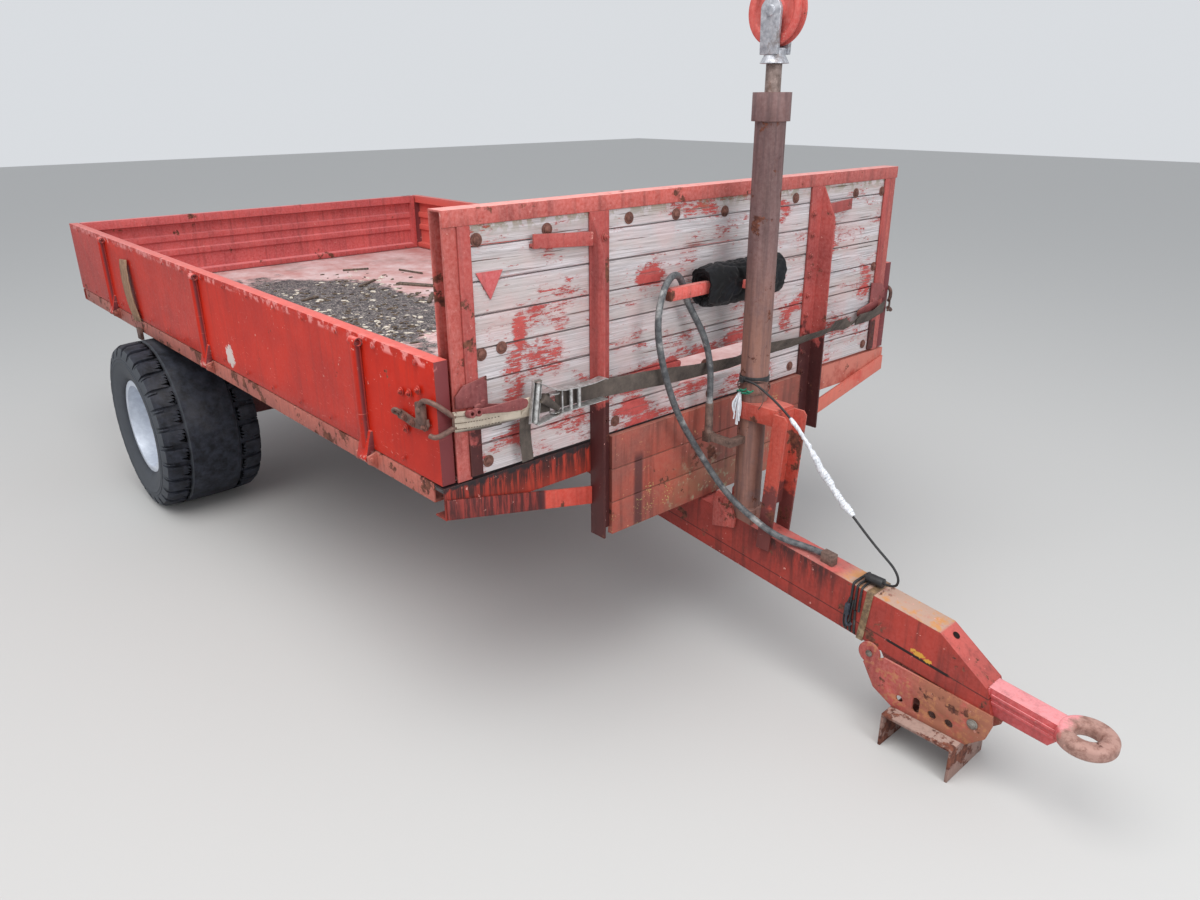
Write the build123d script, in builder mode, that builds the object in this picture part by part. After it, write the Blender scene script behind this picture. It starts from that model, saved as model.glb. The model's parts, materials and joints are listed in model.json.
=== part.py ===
from build123d import *
import math
import os

os.makedirs("parts", exist_ok=True)

# Millimetres and degrees. X runs forward along the drawbar, Y to the left and Z up from the ground.
# Reaches are counted forward from the front face of the bed, heights from the ground.

bed_length = 3830
bed_width = 2250
bed_frame_bottom = 862
side_rail_height = 60
side_rail_flange = 45
rail_wall = 6
floor_sheet = 4
board_height = 362
board_thickness = 43
board_skin = 4
board_rail_height = 46
board_gap = 6
board_foot = 30
board_fold = 6
board_ribs = (118, 204)
board_rib_width = 46
board_rib_depth = 12
board_rib_slant = 8
headboard_top = 1680
tip_angle = 50
board_drop_angle = 125
tailgate_drop_angle = 160

eye_reach = 1409
eye_height = 298
eye_ring_radius = 57
eye_section_width = 49
eye_section_height = 46
eye_corner = 16

latch_reach = 30
eye_outer_radius = eye_ring_radius + eye_section_width / 2
bed_front = (bed_length + latch_reach - eye_reach - eye_outer_radius) / 2
bed_rear = bed_front - bed_length
half_width = bed_width / 2
frame_top = bed_frame_bottom + side_rail_height
floor_top = frame_top + floor_sheet
board_bottom = frame_top + board_gap
board_top = board_bottom + board_height

wheel_reach = -2643
wheel_track = 2070
tyre_radius = 420
tyre_width = 478
tyre_crown_drop = 8
tyre_shoulder_radius = 398
tyre_shoulder_half = 226
tyre_bulge_radius = 335
tread_half = 205
tread_flat_half = 90
lug_count = 28
lug_groove_width = 27
lug_groove_inner = 118
lug_groove_depth = 13
lug_groove_fall = 24
rim_radius = 235
rim_flange_half = 206
rim_flange_wall = 9
rim_seat_radius = 214
rim_wall = 7
rim_well_radius = 186
rim_well_half = 70
disc_offset = 92
disc_wall = 12
disc_bore_radius = 62
hub_barrel_radius = 54
hub_flange_radius = 118
hub_flange_wall = 14
hub_inboard = 66
hub_outboard = 158
hub_cap_wall = 10
stub_radius = 30
running_fit = 0.05
bolt_circle_radius = 92
bolt_count = 6
bolt_radius = 9
wheel_x = bed_front + wheel_reach

axle_size = 90
axle_end_gap = 10
spring_seat_length = 150
spring_seat_width = 90

tip_reach = -3250
tip_height = 690
tip_shaft_radius = 25
tip_plate_radius = 42
tip_plate_wall = 15
tip_plate_tail = 145
tip_x = bed_front + tip_reach
bed_bearer_y = 400
bearer_height = 120
bearer_flange = 55
bearer_wall = 7
bearer_top = bed_frame_bottom
bearer_bottom = bearer_top - bearer_height
chassis_gap = 12
chassis_rail_height = 140
chassis_rail_flange = 60
chassis_rail_wall = 7
chassis_top = bearer_bottom - chassis_gap
chassis_bottom = chassis_top - chassis_rail_height
chassis_front_reach = -430
rest_gap = 0.3

drawbar_width = 95
drawbar_height = 170
drawbar_tail_reach = -1400
drawbar_nose_reach = 977
drawbar_slope = 0.116
drawbar_top_at_bed = 565
nose_low_reach = 1140
nose_low_height = 337
nose_foot_reach = 1168
nose_foot_height = 250
tongue_width = 66
tongue_end_reach = 1345
tongue_top = 318
tongue_bottom = 240

plate_wall = 8
foot_front_reach = 1099
foot_length = 238
foot_width = 222
foot_height = 121
foot_wall = 9

mast_reach = 187
mast_radius = 47.5
collar_radius = 59
collar_bottom = 1874
collar_height = 82
rod_radius = 24
rod_sunk = 700
ram_stroke = 1200
mast_x = bed_front + mast_reach
rod_top = 2035
sheave_height = 2176
sheave_radius = 95
sheave_width = 34
sheave_groove = 14
sheave_pin_radius = 15
clevis_gap = 4
clevis_cheek = 12
clevis_base_radius = 44

upright_outer = 578
upright_leg = 75
upright_stand = 65
upright_wall = 8
upright_bottom_right = 600
upright_bottom_left = 700
plank_wall = 28
plank_count = 8
plank_gap = 3
plank_bottom = 930
plank_hole_right = -165
plank_hole_left = 190
broken_plank = 1
top_rail_height = 44
top_rail_cap = 34
top_rail_wall = 6
end_strip_width = 40
end_strip_lap = 6
end_strip_rise = 5
panel_board_count = 3
panel_bottom = 575
crossbeam_height = 100
crossbeam_depth = 55
post_width = 48
post_depth = 60
post_wall = 7
brace_height = 62
brace_wall = 8

hinge_pin_radius = 8
hinge_knuckle_radius = 14
hinge_offset = 18
hinge_height = 900
knuckle_length = 60
hinge_ear = 10
hinge_ear_gap = 1
hinge_reaches = (-425, -1810, -3160)
gate_hinge_ys = (-760, 0, 760)
stiffener_radius = 15
stiffener_top = board_top - 20
eyelet_radius = 14
eyelet_length = 46

board_end_gap = 6
board_end_wall = 30

brace_outer_bottom = 826
brace_inner_bottom = 708
handle_wall = 6
handle_right_length = 219
handle_right_bottom = 1542
handle_right_rise = 14
handle_left_length = 167
handle_left_bottom = 1540
handle_left_fall = 10
handle_height = 40
handle_stand = 16
handle_foot = 24
reflector_inset = 91
reflector_z = 1510
reflector_side = 90
reflector_wall = 4
latch_wall = 5
latch_bottom = 1140
latch_margin = 2
latch_heel = 10
latch_outer_height = 45
latch_shoulder_inset = 30
latch_shoulder_height = 72
latch_plate_width = 108
latch_plate_height = 86
latch_lever_inset = 130
latch_lever_drop = 18
latch_lever_turn = 12
latch_pin_inset = 90
latch_pin_rise = 8
latch_lever_length = 150
latch_lever_height = 34
latch_lever_wall = 8
latch_pin_radius = 11

mast_wall = 8
mast_foot_half = 58
mast_foot_top = 590
piston_length = 40
clevis_neck_radius = 32
prop_low_reach = 283
prop_top_reach = 318
prop_leg = 55
prop_wall = 8
prop_lap = 60
prop_top = 972
clamp_wall = 9
clamp_bottom = 925
clamp_height = 58
ear_wall = 10
ear_outline = ((80, 482), (180, 506), (184, 545), (150, 612), (98, 628), (80, 600))
ear_hole = (114, 591)
ear_hole_radius = 12
rest_reach = 70
rest_wall = 24
rest_left = -322
rest_bottom = 1350
rest_height = 40
cover_reach = 78
cover_left = -168
cover_right = 268
cover_height = 1374
cover_half_depth = 54
cover_half_height = 70
cover_corner = 50
strap_wall = 4
strap_height = 47
strap_bottom = 1106
strap_end_inset = 8
ratchet_inset = 226
ratchet_length = 262
ratchet_depth = 34
ratchet_wall = 3
ratchet_slant = 50
ratchet_spindles = (60, 130)
ratchet_spindle_radius = 9
ratchet_handle_wall = 4
ratchet_handle_lap = 12
ratchet_handle_low = 30
ratchet_handle_high = 50
hook_inset = 22
hook_width = 14
hook_height = 33
strap_tail_stand = 38
strap_tail_width = 46
strap_tail_length = 160
hose_radius = 11
ferrule_length = 105
cable_radius = 4
plug_radius = 16
clip_wall = 3
clip_pad = 16
clip_height = 20
plug_length = 60
tie_reach = 716
tie_wall = 4
tie_width = 24

crossmember_count = 6
crossmember_height = side_rail_height
crossmember_flange = 40


def side_plane(y):
    return Plane.XZ.offset(-y)


def cross_plane(x):
    return Plane.YZ.offset(x)


def level_plane(z):
    return Plane.XY.offset(z)


def extruded(plane, points, amount, mode=Mode.ADD, both=False):
    with BuildSketch(plane) as face:
        with BuildLine():
            Polyline(*points, close=True)
        make_face()
    extrude(face.sketch, amount=amount, both=both, mode=mode)


def block(x_range, y_range, z_range, mode=Mode.ADD):
    sizes = [high - low for low, high in (x_range, y_range, z_range)]
    centre = [(low + high) / 2 for low, high in (x_range, y_range, z_range)]
    with Locations(tuple(centre)):
        Box(*sizes, mode=mode)


def rod(plane, at, radius, length, mode=Mode.ADD):
    with BuildSketch(plane) as face:
        with Locations(at):
            Circle(radius)
    extrude(face.sketch, amount=length, mode=mode)


def channel_points(base, height, flange, wall):
    # A channel on its back at base: web along the height, flanges to +u if flange > 0.
    u, v = base
    step = math.copysign(wall, flange)
    return [
        (u, v),
        (u + flange, v),
        (u + flange, v + wall),
        (u + step, v + wall),
        (u + step, v + height - wall),
        (u + flange, v + height - wall),
        (u + flange, v + height),
        (u, v + height),
    ]


def save(part, name):
    part.label = name
    export_step(part, f"parts/{name}.step")


# Chassis: two channel rails with their backs outward, tied by crossmembers
rail_front = bed_front + chassis_front_reach
rail_rear = tip_x + tip_plate_radius + 10
rail_length = rail_front - rail_rear
with BuildPart() as chassis_rails:
    for side in (-1, 1):
        web = side * (bed_bearer_y + chassis_rail_flange / 2)
        outline = channel_points(
            (web, chassis_bottom), chassis_rail_height, -side * chassis_rail_flange, chassis_rail_wall
        )
        extruded(cross_plane(rail_rear), outline, rail_length)
save(chassis_rails.part, "chassis_rails")


def drawbar_top(reach):
    return drawbar_top_at_bed - drawbar_slope * reach


rail_web = bed_bearer_y + chassis_rail_flange / 2 - chassis_rail_wall
member_half = bed_bearer_y - chassis_rail_flange / 2
member_reaches = (-3040, wheel_reach, -2000)
with BuildPart() as chassis_crossmembers:
    for reach in member_reaches:
        outline = channel_points(
            (bed_front + reach, chassis_bottom + chassis_rail_wall),
            chassis_rail_height - 2 * chassis_rail_wall,
            chassis_rail_flange,
            chassis_rail_wall,
        )
        extruded(side_plane(rail_web), outline, 2 * rail_web)
    # The two that carry the drawbar: one meets its tail, one lies across its top
    tail_x = bed_front + drawbar_tail_reach
    block(
        (tail_x - 2 * chassis_rail_wall, tail_x),
        (-rail_web, rail_web),
        (chassis_bottom + chassis_rail_wall, chassis_top - chassis_rail_wall),
    )
    cross_low = drawbar_top(chassis_front_reach)
    outline = channel_points(
        (rail_front, cross_low), chassis_top - cross_low, chassis_rail_flange, chassis_rail_wall
    )
    extruded(side_plane(rail_web + chassis_rail_wall), outline, 2 * (rail_web + chassis_rail_wall))
    # Pads on the rails that the bed rests on
    for side in (-1, 1):
        block(
            (rail_front - 120, rail_front - 20),
            (side * bed_bearer_y - 25, side * bed_bearer_y + 25),
            (chassis_top, bearer_bottom - rest_gap),
        )
save(chassis_crossmembers.part, "chassis_crossmembers")

# Drawbar: a box beam that falls to the front and ends in a cut nose
with BuildPart() as drawbar:
    tail = drawbar_tail_reach
    nose_low = (bed_front + nose_low_reach, nose_low_height)
    nose_foot = (bed_front + nose_foot_reach, nose_foot_height)
    outline = [
        (bed_front + tail, drawbar_top(tail)),
        (bed_front + drawbar_nose_reach, drawbar_top(drawbar_nose_reach)),
        nose_low,
        nose_foot,
        (bed_front + tail, drawbar_top(tail) - drawbar_height),
    ]
    extruded(side_plane(drawbar_width / 2), outline, drawbar_width)
save(drawbar.part, "drawbar")

# Towing tongue, its flat faces running into the forged ring
with BuildPart() as tow_eye:
    outline = [
        nose_low,
        (bed_front + tongue_end_reach, tongue_top),
        (bed_front + tongue_end_reach, tongue_bottom + 25),
        (bed_front + tongue_end_reach - 20, tongue_bottom),
        nose_foot,
    ]
    extruded(side_plane(tongue_width / 2), outline, tongue_width)
    ring_plane = Plane(origin=(bed_front + eye_reach, 0, eye_height), x_dir=(1, 0, 0), z_dir=(0, -1, 0))
    with BuildSketch(ring_plane):
        with Locations((eye_ring_radius, 0)):
            RectangleRounded(eye_section_width, eye_section_height, eye_corner)
    revolve(axis=Axis((bed_front + eye_reach, 0, 0), (0, 0, 1)), revolution_arc=360)
save(tow_eye.part, "tow_eye")

# Hitch side plates with their ear, holes and slot
plate_outline = [
    (745, 232),
    (790, 157),
    (859, foot_height),
    (1110, foot_height),
    (1164, 173),
    (1178, 225),
    (1174, 259),
    (815, 279),
]
plate_ear = (762, 272)
plate_ear_radius = 38
plate_holes = ((763, 272, 9), (885, 161, 12), (1122, 205, 12), (996, 163, 14), (1051, 163, 14))
plate_slot = (942, 168)
plate_slot_size = (56, 24)
with BuildPart() as hitch_plates:
    for side in (-1, 1):
        inner = side * drawbar_width / 2
        low = min(inner, inner + side * plate_wall)
        with BuildSketch(side_plane(low)) as face:
            with BuildLine():
                Polyline(*[(bed_front + u, v) for u, v in plate_outline], close=True)
            make_face()
            with Locations((bed_front + plate_ear[0], plate_ear[1])):
                Circle(plate_ear_radius)
            for u, v, radius in plate_holes:
                with Locations((bed_front + u, v)):
                    Circle(radius, mode=Mode.SUBTRACT)
            with Locations((bed_front + plate_slot[0], plate_slot[1])):
                SlotOverall(*plate_slot_size, rotation=90, mode=Mode.SUBTRACT)
        extrude(face.sketch, amount=-plate_wall)
    # Rope ears beside the mast's foot
    for side in (-1, 1):
        low = drawbar_width / 2 if side > 0 else -drawbar_width / 2 - ear_wall
        with BuildSketch(side_plane(low)) as face:
            with BuildLine():
                Polyline(*[(bed_front + u, v) for u, v in ear_outline], close=True)
            make_face()
            with Locations((bed_front + ear_hole[0], ear_hole[1])):
                Circle(ear_hole_radius, mode=Mode.SUBTRACT)
        extrude(face.sketch, amount=-ear_wall)
save(hitch_plates.part, "drawbar_side_plates")

# Parking foot: a channel laid across with its flanges down on the ground
with BuildPart() as parking_foot:
    front = bed_front + foot_front_reach
    outline = [
        (front, 0),
        (front, foot_height),
        (front - foot_length, foot_height),
        (front - foot_length, 0),
        (front - foot_length + foot_wall, 0),
        (front - foot_length + foot_wall, foot_height - foot_wall),
        (front - foot_wall, foot_height - foot_wall),
        (front - foot_wall, 0),
    ]
    extruded(side_plane(foot_width / 2), outline, foot_width)
save(parking_foot.part, "parking_foot")

# Axle: square beam with turned stubs, seats under the rails
wheel_y = wheel_track / 2
stub_start = wheel_y - hub_inboard - axle_end_gap
stub_end = wheel_y + disc_offset
with BuildPart() as axle:
    half = axle_size / 2
    block(
        (wheel_x - half, wheel_x + half), (-stub_start, stub_start), (tyre_radius - half, tyre_radius + half)
    )
    rod(side_plane(stub_end), (wheel_x, tyre_radius), stub_radius, 2 * stub_end)
    # Seats under the rails
    for side in (-1, 1):
        outline = [
            (wheel_x - half, tyre_radius + half),
            (wheel_x + half, tyre_radius + half),
            (wheel_x + spring_seat_length, chassis_bottom),
            (wheel_x - spring_seat_length, chassis_bottom),
        ]
        centre = side * bed_bearer_y
        extruded(side_plane(centre + spring_seat_width / 2), outline, spring_seat_width)
save(axle.part, "axle")

# Wheels


def wheel_profile_plane(y):
    return Plane(origin=(wheel_x, y, tyre_radius), x_dir=(0, 1, 0), z_dir=(1, 0, 0))


def spin(y):
    revolve(axis=Axis((wheel_x, y, tyre_radius), (0, 1, 0)), revolution_arc=360)


# Cutter for one groove between two shoulder lugs, a sector with x along the radius and z along the axle
groove_floor = tyre_radius - lug_groove_depth
groove_rim = tyre_radius + lug_groove_depth
groove_end = tyre_width / 2 + lug_groove_depth
groove_angle = math.degrees(lug_groove_width / tyre_radius)
with BuildPart() as lug_groove:
    with BuildSketch(Plane.XZ):
        with BuildLine():
            Polyline(
                (groove_rim, lug_groove_inner),
                (groove_floor, lug_groove_inner),
                (groove_floor - lug_groove_fall, groove_end),
                (groove_rim, groove_end),
                close=True,
            )
        make_face()
    revolve(axis=Axis.Z, revolution_arc=groove_angle)

for side, name in ((-1, "right"), (1, "left")):
    centre = side * wheel_y
    plane = wheel_profile_plane(centre)
    with BuildPart() as tyre:
        with BuildSketch(plane):
            with BuildLine():
                Polyline(
                    (0, rim_seat_radius),
                    (rim_flange_half - rim_flange_wall, rim_seat_radius),
                    (rim_flange_half - rim_flange_wall, rim_radius),
                    (tyre_width / 2, tyre_bulge_radius),
                    (tyre_shoulder_half, tyre_shoulder_radius),
                    (tread_half, tyre_radius - tyre_crown_drop),
                    (tread_flat_half, tyre_radius),
                    (0, tyre_radius),
                    close=True,
                )
            make_face()
            mirror(about=Plane.YZ)
        spin(centre)
        # The grooves of the two shoulders lie half a pitch apart
        for shoulder in (-1, 1):
            facing = Plane(
                origin=(wheel_x, centre, tyre_radius), x_dir=(1, 0, 0), z_dir=(0, shoulder, 0)
            )
            first_groove = 90 * (1 + shoulder) / lug_count - groove_angle / 2
            with Locations(facing):
                with PolarLocations(0, lug_count, start_angle=first_groove):
                    add(lug_groove.part, mode=Mode.SUBTRACT)
    save(tyre.part, f"tyre_{name}")

    with BuildPart() as rim:
        with BuildSketch(plane):
            with BuildLine():
                Polyline(
                    (-rim_flange_half, rim_radius),
                    (-rim_flange_half + rim_flange_wall, rim_radius),
                    (-rim_flange_half + rim_flange_wall, rim_seat_radius),
                    (rim_flange_half - rim_flange_wall, rim_seat_radius),
                    (rim_flange_half - rim_flange_wall, rim_radius),
                    (rim_flange_half, rim_radius),
                    (rim_flange_half, rim_seat_radius - rim_wall),
                    (rim_well_half + 30, rim_seat_radius - rim_wall),
                    (rim_well_half, rim_well_radius),
                    (-rim_well_half, rim_well_radius),
                    (-rim_well_half - 30, rim_seat_radius - rim_wall),
                    (-rim_flange_half, rim_seat_radius - rim_wall),
                    close=True,
                )
            make_face()
            disc = side * disc_offset
            with Locations((disc, (disc_bore_radius + rim_seat_radius) / 2)):
                Rectangle(disc_wall, rim_seat_radius - disc_bore_radius)
        spin(centre)
    save(rim.part, f"rim_{name}")

    with BuildPart() as hub:
        face = side * (disc_offset - disc_wall / 2)
        back = face - side * hub_flange_wall
        mouth = -side * hub_inboard
        cap = side * hub_outboard
        bore = stub_radius + running_fit
        bore_end = side * (disc_offset + axle_end_gap)
        with BuildSketch(plane):
            with BuildLine():
                Polyline(
                    (mouth, bore),
                    (mouth, hub_barrel_radius),
                    (back, hub_barrel_radius),
                    (back, hub_flange_radius),
                    (face, hub_flange_radius),
                    (face, hub_barrel_radius),
                    (cap - side * hub_cap_wall, hub_barrel_radius),
                    (cap, hub_barrel_radius - hub_cap_wall),
                    (cap, 0),
                    (bore_end, 0),
                    (bore_end, bore),
                    close=True,
                )
            make_face()
        spin(centre)
    save(hub.part, f"hub_{name}")

# Tip shaft in bearing plates behind the rails, and the bed's eyes on it
with BuildPart() as tip_bearings:
    for side in (-1, 1):
        inner = bed_bearer_y + chassis_rail_flange / 2 - chassis_rail_wall - tip_plate_wall
        low = inner if side > 0 else -inner - tip_plate_wall
        with BuildSketch(side_plane(low)) as face:
            with Locations((tip_x, tip_height)):
                Circle(tip_plate_radius - 2)
            with BuildLine():
                Polyline(
                    (tip_x, tip_height - tip_plate_radius + 2),
                    (rail_rear + tip_plate_tail, chassis_bottom + chassis_rail_wall + 10),
                    (rail_rear + tip_plate_tail, chassis_top - chassis_rail_wall - 1),
                    (tip_x, tip_height + tip_plate_radius - 12),
                    close=True,
                )
            make_face()
        extrude(face.sketch, amount=-tip_plate_wall)
    shaft_half = bed_bearer_y + 80
    rod(side_plane(shaft_half), (tip_x, tip_height), tip_shaft_radius, 2 * shaft_half)
save(tip_bearings.part, "tip_shaft")

# Bed frame
bearer_front = bed_front - crossbeam_depth
bearer_rear = bed_rear + side_rail_flange
with BuildPart() as bed_bearers:
    for side in (-1, 1):
        web = side * (bed_bearer_y + bearer_flange / 2)
        outline = channel_points(
            (web, bearer_bottom), bearer_height, -side * bearer_flange, bearer_wall
        )
        extruded(cross_plane(bearer_rear), outline, bearer_front - bearer_rear)
    # Tipping eyes with the packing between them and the bearers
    eye_low_y = bed_bearer_y + chassis_rail_flange / 2 + 6
    for side in (-1, 1):
        low = side * eye_low_y if side > 0 else -eye_low_y - tip_plate_wall
        with BuildSketch(side_plane(low)) as face:
            with BuildLine():
                Polyline(
                    (tip_x - tip_plate_radius, tip_height),
                    (tip_x - tip_plate_radius - 60, bearer_bottom + bearer_height - bearer_wall),
                    (tip_x + tip_plate_radius + 60, bearer_bottom + bearer_height - bearer_wall),
                    (tip_x + tip_plate_radius, tip_height),
                    close=True,
                )
            make_face()
            with Locations((tip_x, tip_height)):
                Circle(tip_plate_radius)
                Circle(tip_shaft_radius + running_fit, mode=Mode.SUBTRACT)
        extrude(face.sketch, amount=-tip_plate_wall)
        web = bed_bearer_y + bearer_flange / 2
        ys = sorted((side * web, side * eye_low_y))
        block((tip_x - 80, tip_x + 80), tuple(ys), (bearer_bottom + 20, bearer_top - bearer_wall - 1))
save(bed_bearers.part, "bed_bearers")

with BuildPart() as side_rails:
    for side in (-1, 1):
        outline = channel_points(
            (side * half_width, bed_frame_bottom), side_rail_height, -side * side_rail_flange, rail_wall
        )
        extruded(cross_plane(bed_rear + side_rail_flange), outline, bed_length - side_rail_flange - crossbeam_depth)
save(side_rails.part, "bed_side_rails")

with BuildPart() as end_beams:
    outline = channel_points(
        (bed_front, frame_top - crossbeam_height), crossbeam_height, -crossbeam_depth, rail_wall
    )
    extruded(side_plane(half_width), outline, bed_width)
    outline = channel_points((bed_rear, bed_frame_bottom), side_rail_height, side_rail_flange, rail_wall)
    extruded(side_plane(half_width), outline, bed_width)
save(end_beams.part, "bed_end_beams")

member_pitch = (bearer_front - bearer_rear) / (crossmember_count + 1)
with BuildPart() as bed_crossmembers:
    for index in range(crossmember_count):
        base = bearer_rear + member_pitch * (index + 1)
        outline = channel_points((base, bed_frame_bottom), crossmember_height, crossmember_flange, rail_wall)
        extruded(side_plane(half_width - side_rail_flange), outline, 2 * (half_width - side_rail_flange))
save(bed_crossmembers.part, "bed_crossmembers")

floor_half = half_width - board_thickness - board_gap
floor_rear = bed_rear + board_thickness + board_gap
with BuildPart() as bed_floor:
    block((floor_rear, bed_front - plank_wall), (-floor_half, floor_half), (frame_top, floor_top))
save(bed_floor.part, "bed_floor")

# Headboard
post_outer = half_width - board_thickness - board_gap
with BuildPart() as headboard_frame:
    for side in (-1, 1):
        outline = [
            (bed_front, side * post_outer),
            (bed_front, side * (post_outer - post_width)),
            (bed_front - post_depth, side * (post_outer - post_width)),
            (bed_front - post_depth, side * post_outer),
            (bed_front - post_depth + post_wall, side * post_outer),
            (bed_front - post_depth + post_wall, side * (post_outer - post_width + post_wall)),
            (bed_front - post_wall, side * (post_outer - post_width + post_wall)),
            (bed_front - post_wall, side * post_outer),
        ]
        extruded(level_plane(floor_top), outline, headboard_top - top_rail_wall - floor_top)
    outline = [
        (bed_front + top_rail_wall, headboard_top - top_rail_height),
        (bed_front + top_rail_wall, headboard_top),
        (bed_front - post_depth, headboard_top),
        (bed_front - post_depth, headboard_top - top_rail_wall),
        (bed_front, headboard_top - top_rail_wall),
        (bed_front, headboard_top - top_rail_height),
    ]
    extruded(side_plane(post_outer), outline, 2 * post_outer)
save(headboard_frame.part, "headboard_frame")

plank_top = headboard_top - top_rail_wall
plank_pitch = (plank_top - plank_bottom) / plank_count
plank_edge = post_outer - post_width - 1
with BuildPart() as headboard_planks:
    for index in range(plank_count):
        low = plank_bottom + index * plank_pitch
        heights = (low, low + plank_pitch - plank_gap)
        # One plank has lost its middle
        spans = [(-plank_edge, plank_edge)]
        if index == broken_plank:
            spans = [(-plank_edge, plank_hole_right), (plank_hole_left, plank_edge)]
        for span in spans:
            block((bed_front - plank_wall, bed_front), span, heights)
save(headboard_planks.part, "headboard_planks")

upright_top = headboard_top - top_rail_height
with BuildPart() as uprights:
    for side in (-1, 1):
        edge = side * (plank_edge + end_strip_lap)
        ys = tuple(sorted((edge, edge - side * end_strip_width)))
        block(
            (bed_front, bed_front + top_rail_wall),
            ys,
            (plank_bottom + end_strip_rise, headboard_top - top_rail_height),
        )
    for side, low in ((-1, upright_bottom_right), (1, upright_bottom_left)):
        outer = side * upright_outer
        ys = tuple(sorted((outer, outer - side * upright_leg)))
        block((bed_front, bed_front + upright_wall), ys, (low, upright_top))
        outline = [
            (bed_front + upright_wall, low),
            (bed_front + upright_stand, low),
            (bed_front + upright_stand, upright_top - 110),
            (bed_front + upright_wall, upright_top),
        ]
        start = outer if side > 0 else outer + upright_wall
        extruded(side_plane(start), outline, upright_wall)
    # Hand bars beside the uprights
    bars = (
        (-upright_outer - handle_right_length, -upright_outer, handle_right_bottom, handle_right_rise),
        (upright_outer, upright_outer + handle_left_length, handle_left_bottom, -handle_left_fall),
    )
    for low, high, height, drop in bars:
        outline = [
            (low, height + drop),
            (high, height),
            (high, height + handle_height),
            (low, height + drop + handle_height),
        ]
        extruded(cross_plane(bed_front + handle_stand), outline, handle_wall)
        foot = low if low < 0 else high - handle_foot
        block(
            (bed_front, bed_front + handle_stand),
            (foot, foot + handle_foot),
            (height + abs(drop), height + handle_height - abs(drop)),
        )
save(uprights.part, "headboard_uprights")

panel_half = upright_outer - upright_leg
panel_pitch = (plank_bottom - panel_bottom) / panel_board_count
with BuildPart() as lower_panel:
    for index in range(panel_board_count):
        low = panel_bottom + index * panel_pitch
        block(
            (bed_front + 0.5, bed_front + plank_wall - 6),
            (-panel_half, panel_half),
            (low, low + panel_pitch - plank_gap),
        )
save(lower_panel.part, "lower_panel_boards")

with BuildPart() as braces:
    for side in (-1, 1):
        outline = [
            (side * (half_width - 4), brace_outer_bottom + brace_height),
            (side * (half_width - 4), brace_outer_bottom),
            (side * upright_outer, brace_inner_bottom),
            (side * upright_outer, brace_inner_bottom + brace_height),
        ]
        extruded(cross_plane(bed_front), outline, brace_wall)
save(braces.part, "front_braces")

reflector_y = reflector_inset - plank_edge
with BuildPart() as reflector:
    outline = [
        (reflector_y - reflector_side / 2, reflector_z),
        (reflector_y + reflector_side / 2, reflector_z),
        (reflector_y, reflector_z - reflector_side * 0.87),
    ]
    extruded(cross_plane(bed_front), outline, reflector_wall)
save(reflector.part, "front_reflector")

# Latches of the drop sides: a plate on each corner post with its lever
with BuildPart() as latches:
    for side in (-1, 1):
        outer = side * (post_outer - latch_margin)
        shoulder = side * (post_outer - latch_shoulder_inset)
        inner = side * (post_outer - latch_plate_width)
        outline = [
            (outer, latch_bottom + latch_heel),
            (outer, latch_bottom + latch_outer_height),
            (shoulder, latch_bottom + latch_shoulder_height),
            (inner, latch_bottom + latch_plate_height),
            (inner, latch_bottom),
        ]
        extruded(cross_plane(bed_front + top_rail_wall), outline, latch_wall)
        with BuildSketch(cross_plane(bed_front + top_rail_wall + latch_wall)) as face:
            with Locations((side * (post_outer - latch_lever_inset), latch_bottom - latch_lever_drop)):
                SlotOverall(latch_lever_length, latch_lever_height, rotation=side * latch_lever_turn)
        extrude(face.sketch, amount=latch_lever_wall)
        pin = (side * (post_outer - latch_pin_inset), latch_bottom + latch_pin_rise)
        rod(cross_plane(bed_front + top_rail_wall), pin, latch_pin_radius, latch_wall + latch_lever_wall)
save(latches.part, "corner_latches")

# Drop sides and tailgate: a sheet skin with a box rail at the top, a ribbed middle and a folded foot


def board_outline(outer, inward, z_low):
    # Section through a board; inward is +1 where the load side lies at greater u
    def at(depth, height):
        return (outer + inward * depth, z_low + height)

    points = [
        at(0, 0),
        at(board_thickness, 0),
        at(board_thickness, board_foot),
        at(board_skin, board_foot + board_fold),
    ]
    for low in board_ribs:
        points += [
            at(board_skin, low),
            at(board_skin + board_rib_depth, low + board_rib_slant),
            at(board_skin + board_rib_depth, low + board_rib_width - board_rib_slant),
            at(board_skin, low + board_rib_width),
        ]
    return points + [
        at(board_skin, board_height - board_rail_height - board_fold),
        at(board_thickness, board_height - board_rail_height),
        at(board_thickness, board_height),
        at(0, board_height),
    ]


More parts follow.
